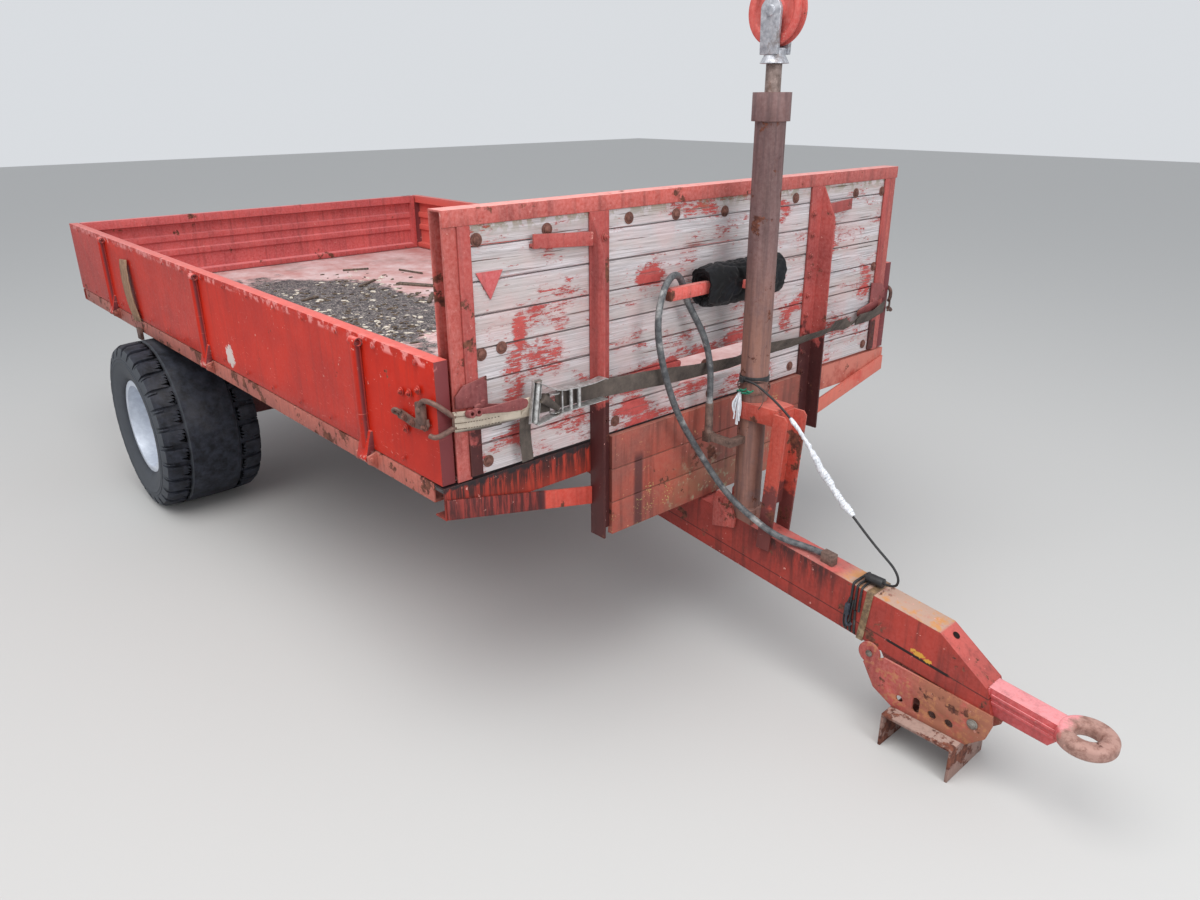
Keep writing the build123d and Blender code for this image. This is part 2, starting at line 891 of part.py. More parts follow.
board_front = bed_front - board_end_gap
board_length = bed_length - board_end_gap
hinge_axis_y = half_width + hinge_offset
for side, name in ((-1, "right"), (1, "left")):
    with BuildPart() as drop_side:
        outline = board_outline(side * half_width, -side, board_bottom)
        extruded(cross_plane(board_front - board_length), outline, board_length)
        inner = sorted((side * half_width, side * (half_width - board_thickness)))
        for start in (board_front - board_length, board_front - board_end_wall):
            block((start, start + board_end_wall), tuple(inner), (board_bottom, board_top))
        for reach in hinge_reaches:
            x = bed_front + reach
            centre = (x, side * (half_width + stiffener_radius - 2))
            rod(level_plane(board_bottom + 4), centre, stiffener_radius, stiffener_top - board_bottom - 4)
            with BuildSketch(cross_plane(x - eyelet_length / 2)) as face:
                with Locations((side * (half_width + eyelet_radius - 1), stiffener_top)):
                    Circle(eyelet_radius)
                    Circle(eyelet_radius - 4, mode=Mode.SUBTRACT)
            extrude(face.sketch, amount=eyelet_length)
            half = knuckle_length / 2
            with BuildSketch(cross_plane(x - half)) as face:
                with Locations((side * hinge_axis_y, hinge_height)):
                    Circle(hinge_knuckle_radius)
                with BuildLine():
                    Polyline(
                        (side * (hinge_axis_y + hinge_knuckle_radius), hinge_height),
                        (side * (half_width + 8), board_bottom + 60),
                        (side * half_width, board_bottom + 60),
                        (side * half_width, board_bottom),
                        (side * (hinge_axis_y - hinge_knuckle_radius + 4), hinge_height + 9),
                        close=True,
                    )
                make_face()
                with Locations((side * hinge_axis_y, hinge_height)):
                    Circle(hinge_pin_radius + running_fit, mode=Mode.SUBTRACT)
            extrude(face.sketch, amount=knuckle_length)
    save(drop_side.part, f"side_board_{name}")

gate_half = floor_half - 2
gate_outer = bed_rear
gate_axis_x = bed_rear - hinge_offset
with BuildPart() as tailgate:
    extruded(side_plane(gate_half), board_outline(bed_rear, 1, board_bottom), 2 * gate_half)
    for low in (-gate_half, gate_half - board_end_wall):
        block((bed_rear, bed_rear + board_thickness), (low, low + board_end_wall), (board_bottom, board_top))
    for y in gate_hinge_ys:
        half = knuckle_length / 2
        with BuildSketch(side_plane(y - half)) as face:
            with Locations((gate_axis_x, hinge_height)):
                Circle(hinge_knuckle_radius)
            with BuildLine():
                Polyline(
                    (gate_axis_x - hinge_knuckle_radius, hinge_height),
                    (bed_rear - 8, board_bottom + 60),
                    (bed_rear, board_bottom + 60),
                    (bed_rear, board_bottom),
                    (gate_axis_x + hinge_knuckle_radius - 4, hinge_height + 9),
                    close=True,
                )
            make_face()
            with Locations((gate_axis_x, hinge_height)):
                Circle(hinge_pin_radius + running_fit, mode=Mode.SUBTRACT)
        extrude(face.sketch, amount=-knuckle_length)
        rod(level_plane(board_bottom + 4), (bed_rear - stiffener_radius + 2, y), stiffener_radius, board_height - 30)
save(tailgate.part, "tailgate")


def ear_points(root, tip, low, high):
    return [(root, low), (tip, hinge_height - 13), (tip, hinge_height + 11), (root, high)]


with BuildPart() as board_hinges:
    for side in (-1, 1):
        for reach in hinge_reaches:
            x = bed_front + reach
            half = knuckle_length / 2 + hinge_ear_gap
            tip = side * (hinge_axis_y + 12)
            for start in (x - half - hinge_ear, x + half):
                points = ear_points(side * half_width, tip, bed_frame_bottom + 6, frame_top - 2)
                extruded(cross_plane(start), points, hinge_ear)
            rod(
                cross_plane(x - half - hinge_ear - 6),
                (side * hinge_axis_y, hinge_height),
                hinge_pin_radius,
                2 * (half + hinge_ear + 6),
            )
save(board_hinges.part, "side_hinges")

with BuildPart() as gate_hinges:
    for y in gate_hinge_ys:
        half = knuckle_length / 2 + hinge_ear_gap
        tip = gate_axis_x - 12
        for start in (y - half, y + half + hinge_ear):
            points = ear_points(bed_rear, tip, bed_frame_bottom + 6, frame_top - 2)
            extruded(side_plane(start), points, hinge_ear)
        rod(
            side_plane(y + half + hinge_ear + 6),
            (gate_axis_x, hinge_height),
            hinge_pin_radius,
            2 * (half + hinge_ear + 6),
        )
save(gate_hinges.part, "tailgate_hinges")

# Mast: the tipping cylinder on its foot, with the gland collar at the top
foot_low = drawbar_top(mast_reach + mast_foot_half)
foot_high = drawbar_top(mast_reach - mast_foot_half)
axis_x = Axis((mast_x, 0, 0), (0, 0, 1))
mast_plane = Plane(origin=(mast_x, 0, 0), x_dir=(1, 0, 0), z_dir=(0, -1, 0))
with BuildPart() as mast_barrel:
    outline = [
        (mast_x - mast_foot_half, foot_high),
        (mast_x + mast_foot_half, foot_low),
        (mast_x + mast_foot_half, mast_foot_top),
        (mast_x - mast_foot_half, mast_foot_top),
    ]
    extruded(side_plane(drawbar_width / 2 - 1), outline, drawbar_width - 2)
    with BuildSketch(mast_plane):
        with BuildLine():
            Polyline(
                (0, mast_foot_top),
                (mast_radius, mast_foot_top),
                (mast_radius, collar_bottom),
                (collar_radius, collar_bottom),
                (collar_radius, collar_bottom + collar_height),
                (rod_radius + running_fit, collar_bottom + collar_height),
                (rod_radius + running_fit, collar_bottom - 12),
                (mast_radius - mast_wall, collar_bottom - 12),
                (mast_radius - mast_wall, mast_foot_top + mast_wall),
                (0, mast_foot_top + mast_wall),
                close=True,
            )
        make_face()
    revolve(axis=axis_x, revolution_arc=360)
save(mast_barrel.part, "mast_barrel")

piston_low = mast_foot_top + mast_wall + 10
with BuildPart() as ram_rod:
    with BuildSketch(mast_plane):
        with BuildLine():
            Polyline(
                (0, piston_low),
                (mast_radius - mast_wall - running_fit, piston_low),
                (mast_radius - mast_wall - running_fit, piston_low + piston_length),
                (rod_radius, piston_low + piston_length),
                (rod_radius, rod_top),
                (0, rod_top),
                close=True,
            )
        make_face()
    revolve(axis=axis_x, revolution_arc=360)
save(ram_rod.part, "ram_rod")

# Head casting: flared foot, waisted neck and two cheeks that hold the sheave's pin
with BuildPart() as sheave_head:
    with BuildSketch(level_plane(rod_top)):
        with Locations((mast_x, 0)):
            Circle(clevis_base_radius)
    with BuildSketch(level_plane(rod_top + 22)):
        with Locations((mast_x, 0)):
            Circle(clevis_neck_radius)
    loft()
    neck_top = sheave_height - sheave_radius - clevis_gap
    rod(level_plane(rod_top + 22), (mast_x, 0), clevis_neck_radius, neck_top - rod_top - 22)
    cheek_inner = sheave_width / 2 + clevis_gap
    for side in (-1, 1):
        low = cheek_inner if side > 0 else -cheek_inner - clevis_cheek
        with BuildSketch(side_plane(low)) as face:
            with BuildLine():
                Polyline(
                    (mast_x - clevis_neck_radius, neck_top - 18),
                    (mast_x + clevis_neck_radius, neck_top - 18),
                    (mast_x + clevis_neck_radius + 4, sheave_height),
                    (mast_x - clevis_neck_radius - 4, sheave_height),
                    close=True,
                )
            make_face()
            with Locations((mast_x, sheave_height)):
                Circle(clevis_neck_radius + 4)
        extrude(face.sketch, amount=-clevis_cheek)
    half = cheek_inner + clevis_cheek + 5
    rod(side_plane(half), (mast_x, sheave_height), sheave_pin_radius, 2 * half)
save(sheave_head.part, "sheave_head")

sheave_plane = Plane(origin=(mast_x, 0, sheave_height), x_dir=(0, 1, 0), z_dir=(1, 0, 0))
with BuildPart() as sheave:
    with BuildSketch(sheave_plane):
        with BuildLine():
            half = sheave_width / 2
            bore = sheave_pin_radius + running_fit
            Polyline(
                (-half, bore),
                (-half, 30),
                (-half + 8, 36),
                (-half + 8, sheave_radius - sheave_groove - 16),
                (-half, sheave_radius - sheave_groove - 8),
                (-half, sheave_radius),
                (-half + 6, sheave_radius),
                (-7, sheave_radius - sheave_groove),
            )
            ThreePointArc(
                (-7, sheave_radius - sheave_groove),
                (0, sheave_radius - sheave_groove - 4),
                (7, sheave_radius - sheave_groove),
            )
            Polyline(
                (7, sheave_radius - sheave_groove),
                (half - 6, sheave_radius),
                (half, sheave_radius),
                (half, sheave_radius - sheave_groove - 8),
                (half - 8, sheave_radius - sheave_groove - 16),
                (half - 8, 36),
                (half, 30),
                (half, bore),
                (-half, bore),
            )
        make_face()
    revolve(axis=Axis((mast_x, 0, sheave_height), (0, 1, 0)), revolution_arc=360)
save(sheave.part, "sheave")

# Prop in front of the mast: an open channel standing astride the drawbar, with its saddle clamp
prop_low_x = bed_front + prop_low_reach
prop_top_x = bed_front + prop_top_reach
with BuildPart() as mast_prop:
    for side in (-1, 1):
        low = drawbar_width / 2 if side > 0 else -drawbar_width / 2 - prop_wall
        outline = [
            (prop_low_x, drawbar_top(prop_low_reach) - prop_lap),
            (prop_low_x + prop_leg, drawbar_top(prop_low_reach) - prop_lap),
            (prop_top_x + prop_leg, prop_top - 14),
            (prop_top_x + prop_leg - 12, prop_top),
            (prop_top_x, prop_top),
        ]
        extruded(side_plane(low), outline, -prop_wall)
    outline = [
        (prop_low_x + 12, drawbar_top(prop_low_reach) + 90),
        (prop_low_x + 12 + prop_wall, drawbar_top(prop_low_reach) + 90),
        (prop_top_x + prop_wall, prop_top),
        (prop_top_x, prop_top),
    ]
    extruded(side_plane(drawbar_width / 2), outline, drawbar_width)
    clamp_end_x = prop_top_x + prop_wall / 2
    # Saddle that holds the mast to the prop
    with BuildSketch(level_plane(clamp_bottom)) as face:
        with Locations((mast_x, 0)):
            Circle(mast_radius + clamp_wall)
        with BuildLine():
            Polyline(
                (mast_x, -mast_radius - clamp_wall),
                (clamp_end_x, -drawbar_width / 2),
                (clamp_end_x, drawbar_width / 2),
                (mast_x, mast_radius + clamp_wall),
                close=True,
            )
        make_face()
        with Locations((mast_x, 0)):
            Circle(mast_radius, mode=Mode.SUBTRACT)
    extrude(face.sketch, amount=clamp_height)
save(mast_prop.part, "mast_prop")

# Hose rest: a flat bar on a lug behind the mast, with the rolled cover on it
rest_x = bed_front + rest_reach
with BuildPart() as hose_rest:
    block((rest_x, rest_x + rest_wall), (rest_left, 20), (rest_bottom, rest_bottom + rest_height))
    block((rest_x + rest_wall, mast_x), (-16, 16), (rest_bottom + 6, rest_bottom + rest_height - 6))
    rod(level_plane(rest_bottom), (mast_x, 0), mast_radius, rest_height, mode=Mode.SUBTRACT)
save(hose_rest.part, "hose_rest")

cover_x = bed_front + cover_reach
with BuildPart() as rolled_cover:
    with BuildSketch(side_plane(cover_right)) as face:
        with Locations((cover_x, cover_height)):
            RectangleRounded(2 * cover_half_depth, 2 * cover_half_height, cover_corner)
    extrude(face.sketch, amount=cover_right - cover_left)
    slack = rest_gap
    block(
        (rest_x - slack, rest_x + rest_wall + slack),
        (cover_left, 20 + slack),
        (rest_bottom - slack, rest_bottom + rest_height + slack),
        mode=Mode.SUBTRACT,
    )
    block(
        (rest_x + rest_wall, mast_x),
        (-16 - slack, 16 + slack),
        (rest_bottom + 6 - slack, rest_bottom + rest_height - 6 + slack),
        mode=Mode.SUBTRACT,
    )
save(rolled_cover.part, "rolled_cover")

# Lashing strap across the headboard, its ratchet and end hooks
strap_face = bed_front + upright_stand + 0.5
strap_end = bed_front + top_rail_wall + latch_wall + latch_lever_wall + 2
strap_half = post_outer - strap_end_inset
ratchet_left = ratchet_inset - post_outer
with BuildPart() as lashing_strap:
    outline = [
        (strap_end, -strap_half),
        (strap_face, -upright_outer - 40),
        (strap_face, upright_outer + 4),
        (strap_end, strap_half),
        (strap_end + strap_wall, strap_half),
        (strap_face + strap_wall, upright_outer + 4),
        (strap_face + strap_wall, -upright_outer - 40),
        (strap_end + strap_wall, -strap_half),
    ]
    extruded(level_plane(strap_bottom), outline, strap_height)
    # Its loose end hanging from the ratchet
    tail_y = ratchet_left - 40
    block(
        (bed_front + strap_tail_stand, bed_front + strap_tail_stand + strap_wall),
        (tail_y, tail_y + strap_tail_width),
        (strap_bottom - strap_tail_length, strap_bottom + 10),
    )
save(lashing_strap.part, "lashing_strap")

with BuildPart() as strap_ratchet:
    front = strap_face + strap_wall
    for low in (strap_bottom - ratchet_wall, strap_bottom + strap_height):
        outline = [
            (front, ratchet_left),
            (front + ratchet_depth, ratchet_left + ratchet_slant),
            (front + ratchet_depth, ratchet_left + ratchet_length - ratchet_slant),
            (front, ratchet_left + ratchet_length),
        ]
        extruded(level_plane(low), outline, ratchet_wall)
    for offset in ratchet_spindles:
        rod(
            level_plane(strap_bottom - ratchet_wall),
            (front + ratchet_depth / 2, ratchet_left + offset),
            ratchet_spindle_radius,
            strap_height + 2 * ratchet_wall,
        )
    block(
        (front + ratchet_handle_wall, front + 3 * ratchet_handle_wall),
        (ratchet_left - ratchet_handle_lap, ratchet_left + ratchet_handle_lap / 2),
        (strap_bottom - ratchet_handle_low, strap_bottom + strap_height + ratchet_handle_high),
    )
    block(
        (front, front + ratchet_handle_wall),
        (ratchet_left - ratchet_handle_lap, ratchet_left + ratchet_slant),
        (strap_bottom, strap_bottom + strap_height),
    )
    # Hooks from the strap's ends to the posts
    for side in (-1, 1):
        inner = post_outer - hook_inset
        ys = tuple(sorted((side * inner, side * (inner + hook_width))))
        block((bed_front, strap_end), ys, (strap_bottom, strap_bottom + hook_height))
save(strap_ratchet.part, "strap_ratchet")


# Free cords: straight runs joined by arcs as large as the runs allow


def arc_radii(points):
    radii = []
    for before, here, after in zip(points, points[1:], points[2:]):
        first = Vector(here) - Vector(before)
        second = Vector(after) - Vector(here)
        turn = math.radians(first.get_angle(second))
        radii.append(0.45 * min(first.length, second.length) / math.tan(turn / 2))
    return radii


def cord(points, radius, name):
    placed = [(bed_front + x, y, z) for x, y, z in points]
    radii = arc_radii(placed)
    with BuildPart() as tube:
        with BuildLine():
            route = FilletPolyline(*placed, radius=radii)
        with BuildSketch(Plane(origin=route @ 0, z_dir=route % 0)):
            Circle(radius)
        sweep(path=route)
    length = route.length
    ideal = math.pi * radius**2 * length
    print(name, "length", round(length), "tightest", round(min(radii)), "volume", round(tube.part.volume / ideal, 4))
    save(tube.part, name)
    return tube


hose_points = [
    (90, -112, 970),
    (90, -112, 1030),
    (88, -114, 1095),
    (84, -126, 1160),
    (76, -148, 1222),
    (66, -180, 1280),
    (56, -210, 1335),
    (54, -226, 1388),
    (62, -258, 1422),
    (78, -300, 1428),
    (92, -344, 1408),
    (99, -374, 1358),
    (102, -386, 1298),
    (102, -380, 1232),
    (101, -360, 1160),
    (100, -334, 1088),
    (99, -302, 1015),
    (99, -262, 940),
    (100, -212, 866),
    (103, -156, 786),
    (116, -108, 710),
    (156, -84, 650),
    (214, -77, 612),
    (276, -76, 588),
    (338, -74, 566),
    (392, -58, 546),
    (440, -24, 530),
    (486, -12, 526),
    (530, -12, 526),
]
cord(hose_points, hose_radius, "hydraulic_hose")

cable_points = [
    (187, -55, 1062),
    (226, -55, 1062),
    (268, -48, 1040),
    (308, -39, 1013),
    (346, -30, 982),
    (384, -22, 946),
    (420, -14, 904),
    (454, -6, 856),
    (490, 0, 806),
    (530, 4, 762),
    (576, 6, 718),
    (624, 5, 680),
    (670, 0, 648),
    (712, -6, 622),
    (752, -9, 598),
    (788, -8, 572),
    (806, -5, 536),
    (790, 0, 502),
    (752, 0, 502),
]
cord(cable_points, cable_radius, "light_cable")

with BuildPart() as cable_ends:
    plug_x = bed_front + cable_points[-1][0]
    rod(cross_plane(plug_x - plug_length), cable_points[-1][1:], plug_radius, plug_length)
    clip_x, clip_y, clip_z = cable_points[0]
    with BuildSketch(level_plane(clip_z - clip_height / 2)) as face:
        with Locations((mast_x, 0)):
            Circle(mast_radius + clip_wall)
        with Locations((bed_front + clip_x - clip_pad / 2, clip_y)):
            Rectangle(clip_pad, clip_pad)
        with Locations((mast_x, 0)):
            Circle(mast_radius, mode=Mode.SUBTRACT)
    extrude(face.sketch, amount=clip_height)
save(cable_ends.part, "cable_ends")

# Fittings: the mast port with its ferrule, and the hose's end block on the drawbar
with BuildPart() as hose_fittings:
    x, y, z = hose_points[0]
    rod(level_plane(z - ferrule_length), (bed_front + x, y), hose_radius + 3, ferrule_length)
    block(
        (bed_front + x - 15, bed_front + x + 15),
        (y - 15, y + 15),
        (z - ferrule_length - 34, z - ferrule_length),
    )
    pipe_z = z - ferrule_length - 17
    block((bed_front + x, mast_x), (y - 9, y + 15), (pipe_z - 12, pipe_z + 12))
    block((mast_x - 12, mast_x + 12), (y - 9, 0), (pipe_z - 12, pipe_z + 12))
    rod(level_plane(pipe_z - 12), (mast_x, 0), mast_radius, 24, mode=Mode.SUBTRACT)
    x, y, z = hose_points[-1]
    end_x = bed_front + x
    outline = [
        (end_x, drawbar_top(x)),
        (end_x + 46, drawbar_top(x + 46)),
        (end_x + 46, z + 10),
        (end_x, z + 14),
    ]
    extruded(side_plane(y + 15), outline, 30)
save(hose_fittings.part, "hose_fittings")

with BuildPart() as drawbar_tie:
    x = bed_front + tie_reach
    tail_low = drawbar_top(drawbar_tail_reach) - drawbar_height
    fall = (tail_low - nose_foot_height) / (nose_foot_reach - drawbar_tail_reach)
    low = tail_low - fall * (tie_reach - drawbar_tail_reach)
    high = drawbar_top(tie_reach)
    slope = math.degrees(math.atan(drawbar_slope))
    band = Plane(
        origin=(x, 0, (low + high) / 2),
        x_dir=(0, 1, 0),
        z_dir=(math.cos(math.radians(slope)), 0, -math.sin(math.radians(slope))),
    )
    with BuildSketch(band) as face:
        tall = (high - low) * math.cos(math.radians(slope)) + rest_gap
        Rectangle(drawbar_width + 2 * tie_wall, tall + 2 * tie_wall)
        Rectangle(drawbar_width, tall, mode=Mode.SUBTRACT)
    extrude(face.sketch, amount=tie_width)
save(drawbar_tie.part, "drawbar_tie")
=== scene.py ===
import bpy
import json
import math
import random
from mathutils import Matrix, Vector
from mathutils import noise as wander


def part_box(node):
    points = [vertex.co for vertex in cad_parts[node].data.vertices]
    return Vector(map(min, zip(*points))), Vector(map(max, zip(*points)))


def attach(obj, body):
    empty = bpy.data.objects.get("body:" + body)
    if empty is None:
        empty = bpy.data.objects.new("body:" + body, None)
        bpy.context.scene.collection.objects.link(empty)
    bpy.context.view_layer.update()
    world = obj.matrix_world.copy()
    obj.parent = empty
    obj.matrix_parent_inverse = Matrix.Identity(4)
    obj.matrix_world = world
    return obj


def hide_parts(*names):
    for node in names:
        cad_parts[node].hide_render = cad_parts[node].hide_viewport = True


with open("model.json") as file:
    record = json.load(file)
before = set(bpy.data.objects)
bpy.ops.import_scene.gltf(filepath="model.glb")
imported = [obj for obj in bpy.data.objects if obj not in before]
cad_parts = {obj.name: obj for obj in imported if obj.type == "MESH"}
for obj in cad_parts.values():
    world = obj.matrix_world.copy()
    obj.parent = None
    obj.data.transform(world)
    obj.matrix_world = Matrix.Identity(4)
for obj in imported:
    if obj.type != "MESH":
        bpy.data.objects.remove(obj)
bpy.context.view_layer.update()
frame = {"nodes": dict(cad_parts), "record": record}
nodes = frame["nodes"]
bodyOfNode = {
    node: body for body, members in frame["record"]["behaviour"]["bodies"].items() for node in members
}
print("frame loaded")

# Front face of the bed, in metres. Most x values below count from it, forward along the drawbar.
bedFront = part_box("headboard_planks")[1].x


def place(x, y, z):
    return Vector((bedFront + x, y, z))


# Camera and stage

cameraLook = {
    "spot": (3.17196, -2.31318, 1.94783), "turn": 48.20, "tilt": 68.23, "roll": -0.234, "lens": 26.61
}


def setCamera():
    data = bpy.data.cameras.new("camera")
    camera = bpy.data.objects.new("camera", data)
    bpy.context.scene.collection.objects.link(camera)
    turn = Matrix.Rotation(math.radians(cameraLook["turn"]), 4, "Z")
    tilt = Matrix.Rotation(math.radians(cameraLook["tilt"]), 4, "X")
    roll = Matrix.Rotation(math.radians(cameraLook["roll"]), 4, "Z")
    camera.matrix_world = Matrix.Translation(cameraLook["spot"]) @ turn @ tilt @ roll
    data.lens = cameraLook["lens"]
    data.sensor_width = 36
    bpy.context.scene.camera = camera


def addAreaLight(name, spot, target, size, power, colour=(1, 1, 1)):
    data = bpy.data.lights.new(name, "AREA")
    data.shape = "DISK"
    data.size = size
    data.energy = power
    data.color = colour
    light = bpy.data.objects.new(name, data)
    bpy.context.scene.collection.objects.link(light)
    light.location = spot
    light.rotation_mode = "QUATERNION"
    light.rotation_quaternion = (Vector(target) - Vector(spot)).to_track_quat("-Z", "Y")


stageLook = {"floor": (0.52, 0.52, 0.515), "sky": (0.93, 0.96, 1.0), "skyPower": 0.75}


def setStage():
    bpy.ops.object.select_all(action="DESELECT")
    bpy.ops.mesh.primitive_plane_add(size=60)
    floor = bpy.context.object
    floor.name = "floor"
    material = bpy.data.materials.new("paleFloor")
    material.use_nodes = True
    shader = material.node_tree.nodes["Principled BSDF"]
    shader.inputs["Base Color"].default_value = (*stageLook["floor"], 1)
    shader.inputs["Roughness"].default_value = 0.9
    floor.data.materials.append(material)
    world = bpy.data.worlds.new("sky")
    world.use_nodes = True
    background = world.node_tree.nodes["Background"]
    background.inputs["Color"].default_value = (*stageLook["sky"], 1)
    background.inputs["Strength"].default_value = stageLook["skyPower"]
    bpy.context.scene.world = world
    addAreaLight("overhead", (1.5, -3.0, 7.0), (0, 0, 0.8), 7.0, 430, (1, 0.98, 0.95))
    addAreaLight("side", (6.5, -1.0, 3.2), (0.5, 0, 0.9), 3.0, 130)


setCamera()
setStage()
bpy.context.scene.view_settings.view_transform = "Standard"
print("camera and stage made")

# Helpers for modelling


def clearSelection():
    if bpy.context.mode != "OBJECT":
        bpy.ops.object.mode_set(mode="OBJECT")
    bpy.ops.object.select_all(action="DESELECT")


def pick(piece):
    clearSelection()
    piece.select_set(True)
    bpy.context.view_layer.objects.active = piece
    return piece


def settle(piece, name):
    # The place goes into the mesh, the object stays at the origin
    pick(piece)
    bpy.ops.object.transform_apply(location=True, rotation=True, scale=True)
    piece.name = name
    piece.data.name = name
    return piece


def bevelEdges(piece, width, segments=2, angle=35):
    pick(piece)
    modifier = piece.modifiers.new("bevel", "BEVEL")
    modifier.width = width
    modifier.segments = segments
    modifier.limit_method = "ANGLE"
    modifier.angle_limit = math.radians(angle)
    bpy.ops.object.modifier_apply(modifier="bevel")
    return piece


def smoothPiece(piece, angle=35):
    pick(piece)
    bpy.ops.object.shade_smooth_by_angle(angle=math.radians(angle))
    return piece


def addBlock(name, low, high, bevel=0.0, segments=2):
    low, high = Vector(low), Vector(high)
    clearSelection()
    bpy.ops.mesh.primitive_cube_add(size=1, location=(low + high) / 2)
    piece = bpy.context.object
    piece.scale = high - low
    settle(piece, name)
    if bevel:
        bevelEdges(piece, bevel, segments)
        smoothPiece(piece)
    return piece


def addRod(name, start, end, radius, sides=24, bevel=0.0, radiusEnd=None):
    start, end = Vector(start), Vector(end)
    along = end - start
    clearSelection()
    far = radius if radiusEnd is None else radiusEnd
    bpy.ops.mesh.primitive_cone_add(vertices=sides, radius1=radius, radius2=far, depth=along.length)
    piece = bpy.context.object
    piece.rotation_mode = "QUATERNION"
    piece.rotation_quaternion = along.to_track_quat("Z", "Y")
    piece.location = (start + end) / 2
    settle(piece, name)
    if bevel:
        bevelEdges(piece, bevel)
    return smoothPiece(piece)


def copyPiece(piece, matrix, name="copy"):
    twin = piece.copy()
    twin.data = piece.data.copy()
    twin.data.transform(matrix)
    twin.name = name
    bpy.context.scene.collection.objects.link(twin)
    return twin


def joinPieces(name, pieces):
    clearSelection()
    for piece in pieces:
        piece.select_set(True)
    bpy.context.view_layer.objects.active = pieces[0]
    if len(pieces) > 1:
        bpy.ops.object.join()
    joined = bpy.context.object
    joined.name = name
    joined.data.name = name
    return joined


def copiesAt(name, model, matrices):
    # One modelled thing, copied to each place; the model itself goes
    made = [copyPiece(model, matrix) for matrix in matrices]
    bpy.data.objects.remove(model)
    return joinPieces(name, made)


def outwards(piece, merge=0.00001):
    pick(piece)
    bpy.ops.object.mode_set(mode="EDIT")
    bpy.ops.mesh.select_all(action="SELECT")
    bpy.ops.mesh.remove_doubles(threshold=merge)
    bpy.ops.mesh.normals_make_consistent(inside=False)
    bpy.ops.object.mode_set(mode="OBJECT")
    return piece


def drawLine(name, points, closed=False):
    # One point, extruded from place to place
    clearSelection()
    bpy.ops.mesh.primitive_plane_add(size=0.01, location=points[0])
    piece = bpy.context.object
    settle(piece, name)
    bpy.ops.object.mode_set(mode="EDIT")
    bpy.ops.mesh.select_mode(type="VERT")
    bpy.ops.mesh.select_all(action="SELECT")
    bpy.ops.mesh.merge(type="CENTER")
    route = list(points) + ([points[0]] if closed else [])
    for before, after in zip(route, route[1:]):
        step = Vector(after) - Vector(before)
        bpy.ops.mesh.extrude_region_move(TRANSFORM_OT_translate={"value": step})
    if closed:
        bpy.ops.mesh.select_all(action="SELECT")
        bpy.ops.mesh.remove_doubles(threshold=0.00001)
    bpy.ops.object.mode_set(mode="OBJECT")
    return piece


def lathe(name, profile, centre, axis, steps=96, closed=True):
    piece = drawLine(name, profile, closed)
    bpy.ops.object.mode_set(mode="EDIT")
    bpy.ops.mesh.select_all(action="SELECT")
    bpy.ops.mesh.spin(steps=steps, angle=math.tau, center=centre, axis=axis)
    bpy.ops.object.mode_set(mode="OBJECT")
    return outwards(piece)


def drawPlate(name, points, thickness):
    # A flat outline filled and extruded by a vector
    piece = drawLine(name, points, closed=True)
    bpy.ops.object.mode_set(mode="EDIT")
    bpy.ops.mesh.select_all(action="SELECT")
    bpy.ops.mesh.edge_face_add()
    bpy.ops.mesh.extrude_region_move(TRANSFORM_OT_translate={"value": Vector(thickness)})
    bpy.ops.object.mode_set(mode="OBJECT")
    return outwards(piece)


def sector(name, outline, centre, axis, angle, steps):
    # A closed outline spun through a small angle about its own place, with both ends filled
    piece = drawLine(name, outline, closed=True)
    bpy.ops.object.mode_set(mode="EDIT")
    bpy.ops.mesh.select_all(action="SELECT")
    bpy.ops.mesh.spin(steps=steps, angle=angle, center=centre, axis=axis)
    bpy.ops.mesh.select_all(action="SELECT")
    bpy.ops.mesh.fill_holes(sides=0)
    bpy.ops.object.mode_set(mode="OBJECT")
    outwards(piece)
    ends = [vertex.co.copy() for vertex in piece.data.vertices]
    middle = sum((end - Vector(centre) for end in ends), Vector()) / len(ends)
    start = sum((Vector(point) - Vector(centre) for point in outline), Vector()) / len(outline)
    aside = start.cross(middle).dot(Vector(axis))
    piece.data.transform(turned(centre, axis, -math.copysign(angle / 2, aside)))
    return piece


def selectEdges(piece, test):
    # Into edit mode with the edges that pass the test selected
    pick(piece)
    bpy.ops.object.mode_set(mode="EDIT")
    bpy.ops.mesh.select_mode(type="EDGE")
    bpy.ops.mesh.select_all(action="DESELECT")
    bpy.ops.object.mode_set(mode="OBJECT")
    for edge in piece.data.edges:
        first, second = (piece.data.vertices[index].co for index in edge.vertices)
        edge.select = test(first, second)
    bpy.ops.object.mode_set(mode="EDIT")


def roundEdges(piece, width, segments, test):
    selectEdges(piece, test)
    bpy.ops.mesh.bevel(offset=width, segments=segments, affect="EDGES")
    bpy.ops.object.mode_set(mode="OBJECT")
    return piece


def divideEdges(piece, cuts, test):
    selectEdges(piece, test)
    bpy.ops.mesh.subdivide(number_cuts=cuts)
    bpy.ops.object.mode_set(mode="OBJECT")
    return piece


def bentRod(name, points, radius, resolution=4):
    # A smooth round bar along a few points, as a mesh
    curve = bpy.data.curves.new(name, "CURVE")
    curve.dimensions = "3D"
    curve.bevel_depth = radius
    curve.bevel_resolution = resolution
    curve.resolution_u = 8
    curve.use_fill_caps = True
    spline = curve.splines.new("NURBS")
    spline.points.add(len(points) - 1)
    for point, spot in zip(spline.points, points):
        point.co = (*spot, 1)
    spline.order_u = 3
    spline.use_endpoint_u = True
    piece = bpy.data.objects.new(name, curve)
    bpy.context.scene.collection.objects.link(piece)
    pick(piece)
    bpy.ops.object.convert(target="MESH")
    piece = bpy.context.object
    outwards(piece)
    return smoothPiece(piece, 50)


